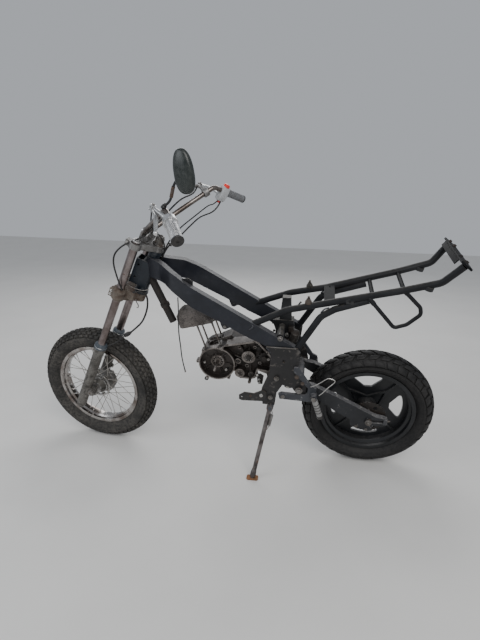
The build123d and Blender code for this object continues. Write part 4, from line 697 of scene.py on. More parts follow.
# The loose cable comes first: its route repeats the model's, in metres
LOOSE_CABLE = (
    (0.18406, 0.02729, 0.8274),
    (0.18136, 0.02949, 0.771),
    (0.18336, 0.02849, 0.716),
    (0.18236, 0.02749, 0.661),
    (0.17436, 0.02849, 0.607),
    (0.17036, 0.02949, 0.553),
    (0.15736, 0.02849, 0.500),
)
LOOSE_THICK = 0.005
# Heights on the fork's line, passed with the cables behind the head, where they were to bend with the steering; these
# cables are only baked in place
BEND_FROM = 868
BEND_TO = 796


def curve(name, points, radius, body):
    """A round cable or wire along a NURBS line through a route of control points."""
    data = bpy.data.curves.new(name, "CURVE")
    data.dimensions = "3D"
    data.bevel_depth = radius
    data.bevel_resolution = 4
    data.use_fill_caps = True
    line = data.splines.new("NURBS")
    line.points.add(len(points) - 1)
    for target, point in zip(line.points, points):
        target.co = (*point, 1)
    line.order_u = 3
    line.use_endpoint_u = True
    line.resolution_u = 8
    data.materials.append(MATS["cable_black"])
    o = shown(name, data)
    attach(o, body)
    return o


def held_cable(name, radius, *route):
    """A cable held at both ends that turns with the bar."""
    curve(name, [FORK @ Vector(p) for p in route], radius * MM, "steering")


def bent_cable(name, radius, *route):
    """A cable behind the head, baked in place: its body names the bar above and the frame below, but nothing here
    makes it turn or bend.
    """
    body = ("steering", "chassis", FORK @ Vector((-60, 0, BEND_FROM)), FORK @ Vector((-60, 0, BEND_TO)))
    Form(name, "cable_black", body, FORK, smooth=60).wire(route, radius, sides=12)


def loose_cable():
    """The cable that hangs free, with the metal fitting on its end."""
    cable = curve("loose_cable", LOOSE_CABLE, LOOSE_THICK / 2, "chassis")
    last = Vector(LOOSE_CABLE[-1])
    fall = (last - Vector(LOOSE_CABLE[-2])).normalized()
    tip = Form("loose_cable_end", "steel_bare", "chassis", Matrix.Identity(4))
    tip.rod(last - fall * 0.004, last + fall * 0.0088, 0.0036, edge=0.0008)
    end = tip.done()
    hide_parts("hanging_cable")


# Tyres: a carcass and blocks that stand on it
TREAD_DEEP = 7
BEAD_R = 202.6
NECK_R = 218
REAR_TYRE = {"radius": 300, "crown": 64.7, "half": 63, "rim": 42.4}
FRONT_TYRE = {"radius": 302.8, "crown": 49.9, "half": 48.5, "rim": 31.8}
# Rows of blocks: across from and to, length at both, bulge, skew and shift in pitches
REAR_ROWS = ((-14, 14, 40, 40, 0, 10, 0), (20, 42, 45, 36, 0, -8, 0.5), (48, 76, 37, 47, 0, 6, 0))
FRONT_ROWS = (
    (-8, 8, 17, 17, 2.5, 3, 0),
    (10.5, 24, 19, 17, 2.5, -2, 0.5),
    (27, 40.5, 17, 19, 2.5, 2, 0),
    (43.5, 56, 17, 22, 0, 0, 0.5),
)
ACROSS_STEPS = (0, 0.12, 0.5, 0.88, 1)
ALONG_STEPS = (-1, -0.84, 0, 0.84, 1)
# How much the tops of blocks are worn at most, how far their edges drop, and how far their feet spread and sink
WORN = 0.5
EDGE_DROP = 1.3
FOOT_SPREAD = 0.8
FOOT_DEEP = 6.5


def on_tread(tyre, angle, across, high):
    """A point over the tread's floor: an angle about the axle and a distance round the crown."""
    lean = across / tyre["crown"]
    reach = tyre["crown"] - TREAD_DEEP + high
    out = tyre["radius"] - tyre["crown"] + reach * math.cos(lean)
    return (out * math.cos(angle), reach * math.sin(lean), out * math.sin(angle))


def block(form, tyre, angle, side, row):
    """One worn block: a grid over its top, with the second finish, and walls down to its feet."""
    low, high, long_low, long_high, bulge, skew, shift = row
    top = TREAD_DEEP - random.uniform(0, WORN)
    grid = []
    for t in ACROSS_STEPS:
        across = low + (high - low) * t
        half = (long_low + (long_high - long_low) * t) / 2 + bulge * 4 * t * (1 - t)
        line = []
        for u in ALONG_STEPS:
            worn = EDGE_DROP * ((t in (0, 1)) + (abs(u) == 1))
            turned = angle + (u * half + skew * (2 * t - 1)) / tyre["radius"]
            line.append(form.mesh.verts.new(on_tread(tyre, turned, side * across, top - worn)))
        grid.append(line)
    for near, far in zip(grid, grid[1:]):
        for k in range(len(near) - 1):
            form.mesh.faces.new((near[k], near[k + 1], far[k + 1], far[k])).material_index = 1
    rim = grid[0] + [line[-1] for line in grid[1:]] + grid[-1][-2::-1] + [line[0] for line in grid[-2:0:-1]]
    middle = sum((v.co for v in rim), Vector()) / len(rim)
    feet = []
    for v in rim:
        foot = v.co + (v.co - middle).normalized() * FOOT_SPREAD
        centre = Vector((foot.x, 0, foot.z)).normalized() * (tyre["radius"] - tyre["crown"])
        feet.append(form.mesh.verts.new(foot + (centre - foot).normalized() * FOOT_DEEP))
    for k in range(len(rim)):
        following = (k + 1) % len(rim)
        form.mesh.faces.new((rim[k], rim[following], feet[following], feet[k]))


def tyre_profile(tyre):
    """From one bead over the crown to the other, as distances along the axle and radii."""
    floor = tyre["crown"] - TREAD_DEEP
    centre = tyre["radius"] - tyre["crown"]
    crown = [(floor * math.sin(a), centre + floor * math.cos(a)) for a in [k * math.radians(7) for k in range(11)]]
    neck_half = tyre["rim"] - 4.4
    bulge_r = centre + 0.33 * tyre["crown"]
    sides = ((1, 1), (1.01, 0.86), (0.98, 0.76), (1.01, 0.73), (0.96, 0.69), (0.83, 0.45), (0.55, 0.2), (0, 0))
    wall = [(neck_half + (tyre["half"] - neck_half) * a, NECK_R + (bulge_r - NECK_R) * b) for a, b in sides]
    half = crown + wall + [(tyre["rim"] - 6.6, BEAD_R + 1.4)]
    return [(-y, r) for y, r in half[:0:-1]] + half


def tyre(name, spec, rows, pitches, materials, node, body, place):
    """A whole tyre with its rows of blocks on both sides of the middle."""
    form = Form(name, materials[0], body, place, node, smooth=40, second=materials[1])
    form.turned((0, 0, 0), Y, tyre_profile(spec), 150, loop=True)
    for count in range(pitches):
        for row in rows:
            angle = 2 * math.pi * (count + row[-1]) / pitches
            for side in (1,) if row[0] < 0 else SIDES:
                block(form, spec, angle, side, row)


# Front wheel: rolled rim, laced spokes with nipples, and the hub's cap and bolts
RIM_HALF = [(9.5, 193.8), (14.5, 201.8), (25.4, 202.4), (27.6, 212), (28.4, 215), (29.8, 216), (31.2, 215.2),
            (31.8, 213), (31.6, 203), (30.2, 199.4), (17, 198.6), (11.5, 189.8)]
SPOKES = 36
HUB_FLANGE = 22
LACE = 42
LACE_R = 57.5
SPOKE_END_R = 190


def front_wheel():
    rim = Form("front_rim_chrome", "chrome_rim", "front_wheel", FORK, "front_rim", smooth=30)
    rim.turned((0, 0, 0), Y, RIM_HALF + [(-y, r) for y, r in reversed(RIM_HALF)], 160, loop=True)
    spokes = Form("front_spokes_laced", "spoke_steel", "front_wheel", FORK, "front_spokes")
    nipples = Form("spoke_nipples", "alloy_bright", "front_wheel", FORK)
    for side in SIDES:
        for count in range(SPOKES // 2):
            outward = 1 if count % 2 else -1
            angle = count * 720 / SPOKES + side * 5
            start = polar(LACE_R, angle, side * (HUB_FLANGE + outward * 4.4))
            end = polar(SPOKE_END_R, angle + outward * LACE, side * 5)
            along = (end - start).normalized()
            spokes.rod(start - along * 3, end - along * 12, 1.5, 8, 0.3)
            head = Y * side * outward
            spokes.rod(start - head * 1.5, start + head * 1.6, 3.4, 10, 0.8)
            nipples.turned(end - along * 15, along, [(0, 2.2), (1, 3), (11, 3), (15.5, 3.6)], 8)
    hub = Form("front_hub_bolts", "steel_bare", "front_wheel", FORK)
    for k in range(9):
        hub.bolt(polar(49, 20 + 40 * k, HUB_FLANGE + 3), Y, 3.6, "socket")
    hub.turned((0, 28, 0), Y, [(0, 31), (2, 32.5), (6, 32.5), (8, 30), (8.4, 26)], 40)
    hub.rod((0, 0, 186), (0, 0, 164), 3.4, 12, last=2.8)


# Fork: axle, seals, caps, pinch bolts and the castings' small parts
LEG_X = 33.5
LEG_Y = 84


def front_axle():
    axle = steering("front_axle_steel", "steel_bare", "front_axle")
    axle.rod((0, -107, 0), (0, 104, 0), 7.4, 24)
    axle.bolt((0, -98.4, 0), -Y, 12, stud=4)
    axle.turned((0, 98.3, 0), Y, [(0, 16), (1, 17), (3, 17), (4, 14.5), (8, 14), (8.7, 12.5), (8.7, 6.5), (2, 6)], 28)


def fork_legs():
    """Seals, caps, lugs and pinch bolts on both legs."""
    seals = steering("fork_seals", "seal_grey")
    clips = steering("fork_seal_clips", "alloy_bright")
    small = steering("fork_small_parts", "steel_bare")
    caps = steering("fork_caps", "alloy_hub")
    bright = steering("fork_pinch_bolts", "steel_bright")
    lugs = steering("fork_leg_lugs", "leg_alloy")
    hole_shades = steering("fork_leg_hole_shades", "hole_dark")
    for side in SIDES:
        y = side * LEG_Y
        out = Y * side
        seals.turned((LEG_X, y, 262), Z, [(0, 28.4), (2, 30), (8, 30), (9.5, 28.6), (12, 28.6), (13.5, 29.6),
                                          (18, 28.6), (21, 24), (24, 20), (27, 18.4)], 48)
        clips.pipe((LEG_X, y, 271.6), Z, 2, 29.6, 28.2, 48)
        caps.turned((LEG_X, y, 834), Z, [(0, 17.8), (3, 17.8), (4.5, 16.4), (7, 16.4), (8, 14)], 36)
        caps.turned((LEG_X, y, 841), Z, [(0, 9.5), (6, 9.5), (7.2, 8.4)], 6)
        for height in (559, 576, 817):
            bright.bolt((LEG_X + 32, y + side * 13, height), out, 5)
            small.bolt((LEG_X + 32, y - side * 13, height), -out, 5, stud=3)
        for height in (-10, 10):
            small.bolt((-17.5, y + side * 2, height), -X, 3.6, "socket")
        small.bolt((LEG_X, y, -112), -Z, 6)
        small.bolt((LEG_X + 1, y + side * 23.6, -84), out, 4)
        for height in (60, 128):
            lugs.plate([(-2, height - 9), (0, height + 9), (20, height + 14), (20, height - 15)], y - 5, y + 5, 1.5)
            # each dark rod through a lug is painted shade in its hole
            hole_shades.rod((5, y - 5.3, height), (5, y + 5.3, height), 3.4, edge=0.1)
        lugs.turned((LEG_X, y, 236), Z, [(0, 24), (5, 26.4), (10, 27.8), (20, 28.6), (26, 28.6)], 44)
        lugs.turned((LEG_X, y, -104), Z, [(0, 18.5), (6, 22.5), (14, 24.6), (20, 24.4)], 44)


def lower_yoke():
    """The cast bracket and the bent wires at the left leg."""
    casting = steering("lower_yoke_casting", "rust_beige")
    casting.turned((LEG_X, LEG_Y, 583), Z, [(0, 29), (3, 31.5), (12, 31), (17, 29.5), (21, 25), (22, 18.4)], 40)
    casting.plate([(-34, 566), (-30, 592), (-8, 606), (12, 600), (26, 580), (10, 562)], 64, 78, 2.5)
    casting.turned((-19, 79, 592), Y, [(-14, 15), (-2, 15), (1, 13), (1.4, 7), (-3, 6)], 30)
    bent = steering("lower_yoke_wire", "steel_bare")
    bent.wire([(40, 62, 618), (32, 60, 624), (8, 52, 614), (-22, 44, 611), (-52, 34, 618), (-66, 20, 626)], 1.8)
    bent.wire([(-47, 84, 588), (-54, 86, 580), (-66, 86, 570), (-70, 85, 560), (-64, 84, 554)], 2.2)


# Handlebar: clamp caps, grips, perches, levers, mirror and switch
BAR_END = Vector((-211, 391, 1060))
BAR_BEND = Vector((-95, 262, 1084))
BAR_TOP = Vector((-38, 170, 985))
GRIP_IN = (BAR_BEND - BAR_END).normalized()
BEND_IN = (BAR_BEND - BAR_TOP).normalized()
MIRROR_AT = Vector((-117, 290, 1243))
MIRROR_UP = Vector((79, 0, 127)).normalized()
MIRROR_OUT = MIRROR_UP.cross(Vector((67, -20, -33))).normalized()
MIRROR_ACROSS = MIRROR_OUT.cross(MIRROR_UP)
MIRROR_LONG = 74
MIRROR_WIDE = 39
MIRROR_STEM = ((-84, 258, 1090), (-101, 268, 1128), (-97, 272, 1182), (-110, 284, 1232))


def flipped(v):
    """The twin of a point or direction on the other side."""
    return Vector((v[0], -v[1], v[2]))


def grip(name, material, end, inward, swell, *replaces):
    """A ribbed grip on one end of the bar, with its end cap."""
    profile = [(-2, 14), (-1, 16.6), (6, 17)]
    for k in range(14):
        at = 8 + k * 6
        profile += [(at, 15.6), (at + 0.8, 16.9), (at + 3.8, 16.9), (at + 4.6, 15.6)]
    profile += [(93, 16), (94, 21), (97.5, 21), (98, 19.5), (98, 12)]
    form = steering(name, material, *replaces)
    form.turned(end, inward, [(along, radius * swell) for along, radius in profile], 36)
    cap = steering(f"{name}_cap", "black_plastic")
    cap.pipe(end - inward * 5, inward, 7, 17.6 * swell, 6, 32, 1.6)
    # two dark plugs fill the cap's bore as painted shade
    cap.rod(end - inward * 2.5, end + inward, 6.3, edge=0.1)
    cap.rod(end - inward * 1.5, end + inward, 6.5, edge=0.1)
    cap.pipe(end + inward * 93, inward, 4, 19.5, 12, 32)


def mirror():
    """The mirror's shell, glass, stem and sleeve."""

    def ring(share, out):
        points = []
        for a in turns(44):
            c = math.cos(a)
            u = squared(c, 0.84) * MIRROR_LONG * share
            v = squared(math.sin(a), 0.84) * MIRROR_WIDE * share * (1 - 0.1 * c)
            points.append(MIRROR_AT + MIRROR_UP * u + MIRROR_ACROSS * v + MIRROR_OUT * out)
        return points

    shell = steering("mirror_shell", "mirror_back", "mirror")
    rows = ((0.93, -6.5), (0.955, -9), (0.985, -9), (1, -6.5), (1, -1), (0.975, 4), (0.9, 8), (0.76, 11.5),
            (0.55, 14), (0.3, 15.3), (0.08, 15.8))
    shell.skin([ring(*row) for row in rows])
    shell.turned(MIRROR_STEM[3], (0.3, 0.2, 1), [(-14, 7), (-12, 9), (2, 9.5), (8, 7)], 20)
    steering("mirror_glass", "mirror_glass").skin([ring(0.925, -6), ring(0.925, -7), ring(0.9, -7.4)])
    stem = steering("mirror_stem", "black_paint")
    path = smooth_path(MIRROR_STEM, 10)
    stem.tube(path, 4.6, 12)
    stem.turned(MIRROR_STEM[0], (-0.4, 0.25, 1), [(-6, 9), (-5, 10), (5, 10), (6, 9), (7, 7), (14, 7)], 6)
    steering("mirror_sleeve", "rust_brown").tube(path[12:20], 6.4, 12)


def lever(name, side, root, middle, tip, bar_at, along, perch_alloy, perch_r, *replaces):
    """A bright lever blade with a ball end, on a perch clamped to the bar."""
    root, middle, tip = Vector(root), Vector(middle), Vector(tip)
    blade = steering(f"{name}_blade", "alloy_bright", *replaces)
    route = [root, root.lerp(middle, 0.5) + Vector((3, 0, 1)), middle, middle.lerp(tip, 0.5), tip]
    blade.wire(route, 13.5, 6, 16, taper=0.6, flat=0.36, wide=(1, 0, 0.35))
    blade.turned(tip, tip - middle, [(-7, 4.5), (-6, 7), (-3, 8.8), (0, 9.3), (3, 8.8), (6, 7), (8.6, 3)], 20)
    blade.turned(root, Z, [(-7, 9), (-6, 10), (6, 10), (7, 9)])
    perch = steering(f"{name}_perch", perch_alloy)
    perch.pipe(bar_at - along * 12, along, 24, perch_r, 11.4, 32, 1.6)
    perch.tube([bar_at, bar_at.lerp(root, 0.4), bar_at.lerp(root, 0.75), root], 9.5, 14, taper=0.8)
    perch.turned(root, Z, [(-11, 9), (-10, 11), (-7.4, 11), (-7.2, 6)])
    perch.turned(root, Z, [(7.2, 6), (7.4, 11), (10, 11), (11, 9)])
    bolts = steering(f"{name}_bolts", "steel_bare")
    bolts.bolt(root + Z * 11, Z, 5)
    bolts.bolt(bar_at + Vector((16, side * 6, 6)), (1, 0, 0.3), 4)
    out = (bar_at - root).normalized()
    knob = root + Vector((6, -side * 8, -2))
    profile = []
    for k in range(6):
        profile += [(k * 4, 5.6), (k * 4 + 1, 6.6), (k * 4 + 3, 6.6)]
    bolts.turned(knob, (0.35 - out.x * 0.1, -side * 0.9, -0.35), profile + [(25, 4.2), (32, 3.6)], 18)


def controls():
    """Both grips and both levers."""
    grip("grip_left", "grip_silver", BAR_END, GRIP_IN, 1.3, "grips")
    grip("grip_right", "grip_grey", flipped(BAR_END), flipped(GRIP_IN), 1)
    lever("clutch", 1, (-48, 262, 1069), (-86, 306, 1062), (-124, 362, 1034), BAR_END + GRIP_IN * 111, GRIP_IN,
          "grip_silver", 24, "clutch_lever", "clutch_perch")
    lever("brake", -1, (-35, -248, 1064), (-73, -296, 1062), (-112, -350, 1040), flipped(BAR_BEND - BEND_IN * 46),
          flipped(BEND_IN), "yoke_alloy", 19, "brake_lever")


def bar_clamps():
    """Clamp caps with their screws, and the nut on the steering's stem."""
    caps = steering("bar_clamp_caps", "alloy_bright")
    bolts = steering("bar_clamp_bolts", "steel_bare")
    for side in SIDES:
        for x in (17, 39):
            bolts.bolt((x, side * 34, 879), Z, 4.4, "socket")
        caps.turned((28, side * 34 - 9.6, 866), Y, [(0, 15.5), (0.8, 17.6), (18.4, 17.6), (19.2, 15.5)], 36)
    nut = steering("stem_nut_stack", "steel_bare", "stem_nut")
    nut.turned((-AXLE_OFFSET, 0, 830.4), Z, [(0, 23), (1, 24), (5, 24), (6, 22.5)], 36)
    nut.turned((-AXLE_OFFSET, 0, 836), Z, [(0, 21.6), (20, 21.6), (22.5, 19.5)], 6)
    nut.turned((-AXLE_OFFSET, 0, 857), Z, [(0, 17), (2, 17.5), (12, 16), (14.6, 13), (14.8, 7), (9, 6.5)], 32)


def switch():
    """The right-hand housing hangs below the bar, with two buttons."""
    inward = flipped(GRIP_IN)
    at = flipped(BAR_END) + inward * 98
    down = (inward * Z.dot(inward) - Z).normalized()
    back = inward.cross(down)

    def ring(along, grow):
        points = []
        for a in turns(32):
            u = squared(math.cos(a), 0.6) * (36 + grow)
            v = squared(math.sin(a), 0.6) * (20 + grow)
            points.append(at + inward * along + down * (u + 12) + back * v)
        return points

    rows = ((0, -3), (2, -0.6), (4, 0), (17.4, 0), (18, -1), (18.8, -1), (19.4, 0), (32, 0), (35, -1), (37, -4))
    steering("switch_housing", "switch_grey", "right_switch").skin([ring(*row) for row in rows])
    buttons = steering("switch_buttons", "button_red")
    for way, reach, size in ((-down, 22, 15), (down, 44, 9)):
        profile = [(0, size), (7, size), (11, size * 0.86), (13.4, size * 0.55), (14, size * 0.15)]
        buttons.turned(at + inward * 18 + way * reach, way, profile, 30)


def cables():
    held_cable("brake_cable", 3.6, (-30, -240, 1060), (-38, -205, 1048), (-43, -160, 1040), (-24, -105, 1024),
               (-18, -40, 992), (-12, 50, 932), (6, 75, 879), (35, 92, 841), (62, 102, 817), (84, 108, 784),
               (97, 110, 745), (88, 112, 708), (62, 114, 672), (38, 113, 640), (14, 110, 612))
    bent_cable("throttle_cable", 3.4, (-140, -300, 1032), (-138, -284, 1000), (-128, -262, 975), (-102, -205, 950),
               (-89, -150, 913), (-77, -110, 872), (-62, -60, 832), (-58, -36, 800), (-60, -22, 770))
    bent_cable("switch_lead", 2.9, (-128, -296, 1030), (-118, -276, 1010), (-106, -240, 1000), (-88, -170, 958),
               (-67, -95, 906), (-58, -52, 860), (-56, -34, 820), (-60, -14, 772))
    bent_cable("clutch_cable", 3, (-40, 254, 1066), (-28, 226, 1056), (-20, 180, 1020), (-14, 110, 940),
               (-40, 40, 885), (-60, 4, 836), (-64, -4, 772))
    held_cable("front_hose", 4.2, (-20, 76, 606), (-46, 56, 622), (-72, 36, 606), (-94, 38, 560), (-100, 42, 509),
               (-97, 45, 470), (-84, 50, 436), (-67, 55, 398))
    steering("hose_boot", "black_plastic").turned((-69, 54.5, 402), (0.55, 0.1, -0.83), [
        (0, 4), (2, 6.5), (9, 7), (11, 9.6), (24, 10.4), (28, 10), (36, 8.2), (40, 6)])
    steering("hose_stay", "black_paint").wire([
        (-48, 58.5, 369), (-40, 60, 352), (-26, 64, 322), (-6, 72, 296), (6, 76, 284)], 2.4)
    steering("cable_ties", "black_plastic").pipe((-66, -44, 838), (0.3, 0.6, -0.7), 5, 9.5, 7.2, 20)


# Frame: welds, plates, studs and fasteners on the spars, plates and rails
HEAD_AHEAD = SIDE.cross(FORK_UP)
HEAD_AT = Vector((-AXLE_OFFSET, 0, 0))
HEAD = place_of(FORK @ HEAD_AT + HEAD_AHEAD * AXLE_OFFSET * MM, HEAD_AHEAD, SIDE, FORK_UP)
WELDS = (
    ((462, 129, 660), (452, 130, 645), (444, 130, 632)),
    ((536, 127, 736), (520, 127, 750), (528, 125, 766)),
    ((352, 112, 646), (346, 114, 662), (330, 106, 668)),
)
RAIL_WELD = ((246, 99, 822), (232, 97, 838), (214, 96, 846))
# A weld bead in bare steel along each pivot plate's top edge, which also paints the highlight on that edge
SEAM_HIGHLIGHT = ((336, 129, 662), (400, 130, 662.4), (462, 129, 662))
TAIL_LEAN = math.radians(38)


def frame_welds():
    welds = chassis("frame_welds", "frame_paint")
    seam_highlights = chassis("plate_seam_highlights", "steel_bare")
    for side in SIDES:
        for line in WELDS:
            welds.wire(sided(side, line), 3.2, 16, 7, ripple=0.22)
        welds.wire(sided(side, RAIL_WELD), 3, 14, 7, ripple=0.25)
        # the light bead is a weld seam and a painted highlight on the plate's top edge
        seam_highlights.wire(sided(side, SEAM_HIGHLIGHT), 3, 16, 7, ripple=0.22)


def head_rings():
    head = Form("head_tube_rings", "head_paint", "chassis", HEAD)
    for low, long in ((587.5, 3.4), (594, 2), (799.4, 3), (794, 2)):
        head.pipe(HEAD_AT + Z * low, Z, long, 31.2, 27, 44, 0.8)
    cups = Form("head_bearing_seals", "black_plastic", "chassis", HEAD)
    cups.pipe(HEAD_AT + Z * 802.2, Z, 1.4, 28.5, 18, 40, 0.4)
    cups.pipe(HEAD_AT + Z * 586.4, Z, 0.9, 28.5, 18, 40, 0.3)


def frame_bolts():
    """Fasteners on the outside of the spars and pivot plates: x, y, z and size."""
    bolts = chassis("frame_bolts", "steel_bare")
    bolts.pair(414, 137.4, 509, 8.4, stud=4)
    bolts.pair(439, 137.4, 406, 8, stud=3)
    bolts.pair(315, 139.2, 458, 12, stud=4)
    bolts.pair(384, 142.4, 420, 7, "socket")
    bolts.pair(452, 130.2, 600, 5)
    bolts.pair(642, 116.2, 737, 5.5)
    bolts.pair(405, 127.2, 706, 9, "socket")
    bright = chassis("frame_bright_bolts", "steel_bright")
    bright.pair(479, 130.2, 402, 6)
    bright.pair(480, 138.4, 414, 6.4)
    rusty = chassis("frame_rusty_bolts", "rust_brown")
    rusty.pair(327, 142.4, 529, 7.5, stud=2)
    rusty.pair(301, 142.4, 498, 6.5)
    rusty.pair(528, 138.4, 407, 4.4, "socket")


def seat_stacks():
    """Rubber and washers under a nut, where the seat was held."""
    for name, material, y in (("seat_stack_near", "rust_brown", 84), ("seat_stack_far", "stack_black", -84)):
        stack = chassis(name, material)
        stack.turned((298, y, 853), Z, [(0, 12), (1, 14), (5, 14.4), (6, 12.6), (7, 14.2), (12, 14), (13, 12),
                                        (13.6, 10.6), (17, 10.4), (18, 9)], 30)
        stack.turned((298, y, 869), Z, [(0, 8.6), (6, 8.6), (7.4, 7.4)], 6)
        stack.turned((298, y, 875), Z, thread(5, 11, 1.2), 16)


def frame_trim():
    """Tabs, rings, a bent wire, dark discs as painted shade in holes, and the side loop's ends."""
    small = chassis("frame_small_parts", "black_paint")
    small.plate([(776, 899), (774, 930), (792, 944), (826, 938), (828, 912), (800, 898)], 96, 101, 1)
    small.wire([(470, -112, 716), (440, -96, 712), (400, -70, 726), (360, -60, 752), (330, -66, 790)], 4)
    # dark discs on the tabs and plates are painted shade in their holes
    hole_shades = chassis("frame_hole_shades", "hole_dark")
    hole_shades.rod((800, 95, 920), (800, 101.3, 920), 5, edge=0.1)
    for side in SIDES:
        y = side * 99
        small.plate([(120, 868), (118, 884), (136, 892), (152, 884), (150, 868)], y - 2, y + 2)
        small.pipe((-150, side * 104, 950), (-0.25, 0, 1), 16, 19, 14.2, 28)
        hole_shades.rod((135, side * 101.3, 879), (135, side * 95, 879), 4.2, edge=0.1)
    ends = chassis("loop_ends", "rail_paint")
    ends.turned((50, 98, 885), (98, -2, 109), [(-16, 8.4), (-14, 9.8), (-2, 10), (2, 9), (19, 9), (21, 7.6)])
    ends.turned((-76, 100, 930), (-60, 0, -58), [(-8, 5), (-6, 9.6), (4, 9.8), (6, 8.4)])


def tail():
    flange = chassis("tail_flange", "tail_paint")
    flange.plate([(-235.2, 1079.6), (-238.4, 1077), (-225.4, 1060.6), (-222.2, 1063)], -109, 109, 0.6)
    bolts = chassis("tail_bolts", "rust_dark")
    up = Vector((-math.sin(TAIL_LEAN), 0, math.cos(TAIL_LEAN)))
    along = Vector((up.z, 0, -up.x))
    for side in SIDES:
        for reach, out in ((118, 8), (96, -10), (60, 8)):
            bolts.bolt(Vector((-257, side * reach, 1063)) + up * 8.4 + along * out, up, 6, "socket")


# Engine: bearings, screws, shafts and small brackets in and on the open case
CRANK = (693, 515)
MAIN_SHAFT = (548, 559)
OUTPUT_SHAFT = (588, 474)
SHIFT_SHAFT = (536, 467)
CLUTCH = (615, 540)
CASE_FLOOR = 30
SCREW_BOSSES = ((632, 611), (519, 641), (462, 592), (514, 468))
RING_BOSS_R = 88
RING_BOSSES = (4, 47, -59, -127)
CYL_LEAN = math.radians(17.5)
CYL_AHEAD = AHEAD * math.cos(CYL_LEAN) - UP * math.sin(CYL_LEAN)
CYL_UP = AHEAD * math.sin(CYL_LEAN) + UP * math.cos(CYL_LEAN)
CYL_FOOT = Vector((715.85, 0, 587.5))


def bearing(races, balls, x, z, inner, outer, top):
    """Two races and the balls between them, in an open bore."""
    for radius, bore, sides in ((outer, outer - 2.6, 40), (inner + 2.6, inner, 36)):
        races.pipe((x, top - 7, z), Y, 7, radius, bore, sides)
    size = (outer - inner) / 2 - 2.3
    profile = [(size * math.sin(a), size * math.cos(a)) for a in [math.radians(k * 30 - 75) for k in range(6)]]
    for at in around((x, top - 2.4 - size * 0.4, z), Y, (inner + outer) / 2, 11):
        balls.turned(at, Y, profile, 10)


def case_halves():
    """The cast halves keep their meshes, with machined faces where they join."""
    to_bike = BIKE.inverted()

    def joint_face(normal, centre):
        return normal.dot(SIDE) > 0.9 and (to_bike @ centre).y > 53

    two_tone("case_alloy", "machined", "crankcase_left", joint_face)
    two_tone("case_alloy", "machined", "crankcase_right", lambda normal, centre: normal.dot(SIDE) > 0.9)


def gear_chamber():
    """Bearings, small seats and the shaft ends that stand in the open case."""
    races = chassis("case_bearings", "machined")
    balls = chassis("case_bearing_balls", "steel_bright")
    for row in ((*MAIN_SHAFT, 13, 23, 60), (*CRANK, 15, 25, 40), (*OUTPUT_SHAFT, 6.5, 15, 62)):
        bearing(races, balls, *row)
    seats = chassis("case_small_seats", "machined")
    for x, z, radius, bore, top in ((590, 599, 9, 5, 46), (521, 602, 8, 4.5, 42), (557, 503, 9, 5.5, 44),
                                    (499, 521, 8, 4.5, 42), (611, 500, 7, 4, 44)):
        seats.pipe((x, CASE_FLOOR, z), Y, top - CASE_FLOOR, radius, bore, 26, 0.8)
    shafts = chassis("case_shafts", "oily_steel")
    for (x, z), low, sides, profile in (
        (MAIN_SHAFT, 52, 24, [(0, 12.6), (9, 12.6), (10, 11), (17, 11), (18, 9.5)]),
        (OUTPUT_SHAFT, 40, 18, [(0, 6.3), (24, 6.3), (25, 5)]),
        (SHIFT_SHAFT, 58, 28, [(0, 11), (1.5, 12.4), (5, 12.4), (6, 10.6), (7, 8)]),
        ((597, 531), 36, 18, [(0, 7), (22, 7), (23, 5.6)]),
        ((477, 556), 48, 6, [(0, 16), (3, 16), (3.6, 14.4), (12, 14.4), (13.6, 12.6)]),
        ((505, 596), CASE_FLOOR, 30, [(0, 20), (6, 20), (7, 18.5), (7.4, 12), (12, 11), (13, 9)]),
    ):
        shafts.turned((x, low, z), Y, profile, sides)
    for k in range(12):
        at = polar(6.4, 30 * k, 108, SHIFT_SHAFT)
        shafts.rod(at, at + Y * 13, 0.9, 6, 0.2)
    for x, z, top, radius in ((641, 566, 44, 7), (566, 606, 41, 9)):
        shafts.rod((x, CASE_FLOOR, z), (x, top, z), radius)


def crank_chamber():
    """The collar and its ribs, and the crank's taper with its thread and key."""
    x, z = CRANK
    chassis("crank_collar", "machined").pipe((x, CASE_FLOOR, z), Y, 16, 31.5, 25.6, 48, 1.2)
    boss = chassis("crank_boss", "case_alloy")
    for centre, thick, angles, steps in (
        (CRANK, 2.4, (18, 74, 128, 196, 250, 322), ((31, 40), (44, 35), (63, 31))),
        (MAIN_SHAFT, 2.2, (36, 92, 148, 205, 262, 318), ((25, 49), (34, 39), (44, 31))),
    ):
        for angle in angles:
            boss.tube([polar(reach, angle, y, centre) for reach, y in steps], thick)
    crank = chassis("crank_end", "machined", "crankshaft", smooth=25)
    taper = [(37, 14.8), (40.4, 14.8), (40.8, 7.7), (62, 7.7), (63, 7.4), (91, 5.3), (92, 4.7), (94, 4.7)]
    crank.turned((x, 0, z), Y, taper + [(94 + a, r) for a, r in thread(5.2, 27, 1.35)], 26)
    key = chassis("crank_key", "oily_steel")
    key.plate([(x - 2, z + 5), (x - 2, z + 9.6), (x + 2, z + 9.6), (x + 2, z + 5)], 66, 79, 0.5)


def case_hole_shades():
    # dark discs on the bosses and on the case floor are painted shade in screw holes
    hole_shades = chassis("case_screw_hole_shades", "hole_dark")
    for x, z in SCREW_BOSSES:
        hole_shades.rod((x, 62, z), (x, 66.25, z), 3.2, edge=0.1)
    for angle in RING_BOSSES:
        at = polar(RING_BOSS_R, angle, 62, CRANK)
        hole_shades.rod(at, at + Y * 4.25, 3.2, edge=0.1)
    hole_shades.rod((647, CASE_FLOOR, 475), (647, CASE_FLOOR + 1, 475), 5, edge=0.1)


def case_screws():
    screws = chassis("case_screws", "steel_bright")
    for x, z in ((674, 576), (757, 500), (656, 467)):
        screws.bolt((x, 36, z), Y, 5)
    for x, z in ((589, 609), (574, 591), (553, 577), (519, 557), (511, 539)):
        screws.bolt((x, -88, z), (0, -0.3, 1), 4.6, "socket")
        screws.turned((x, -88, z - 9), (0, -0.3, 1), [(0, 8), (7.6, 8), (8.6, 7)], 18)
    for x, z in ((506, 477), (497, 453), (496, 437)):
        screws.bolt((x, 74.2, z), Y, 4.6)


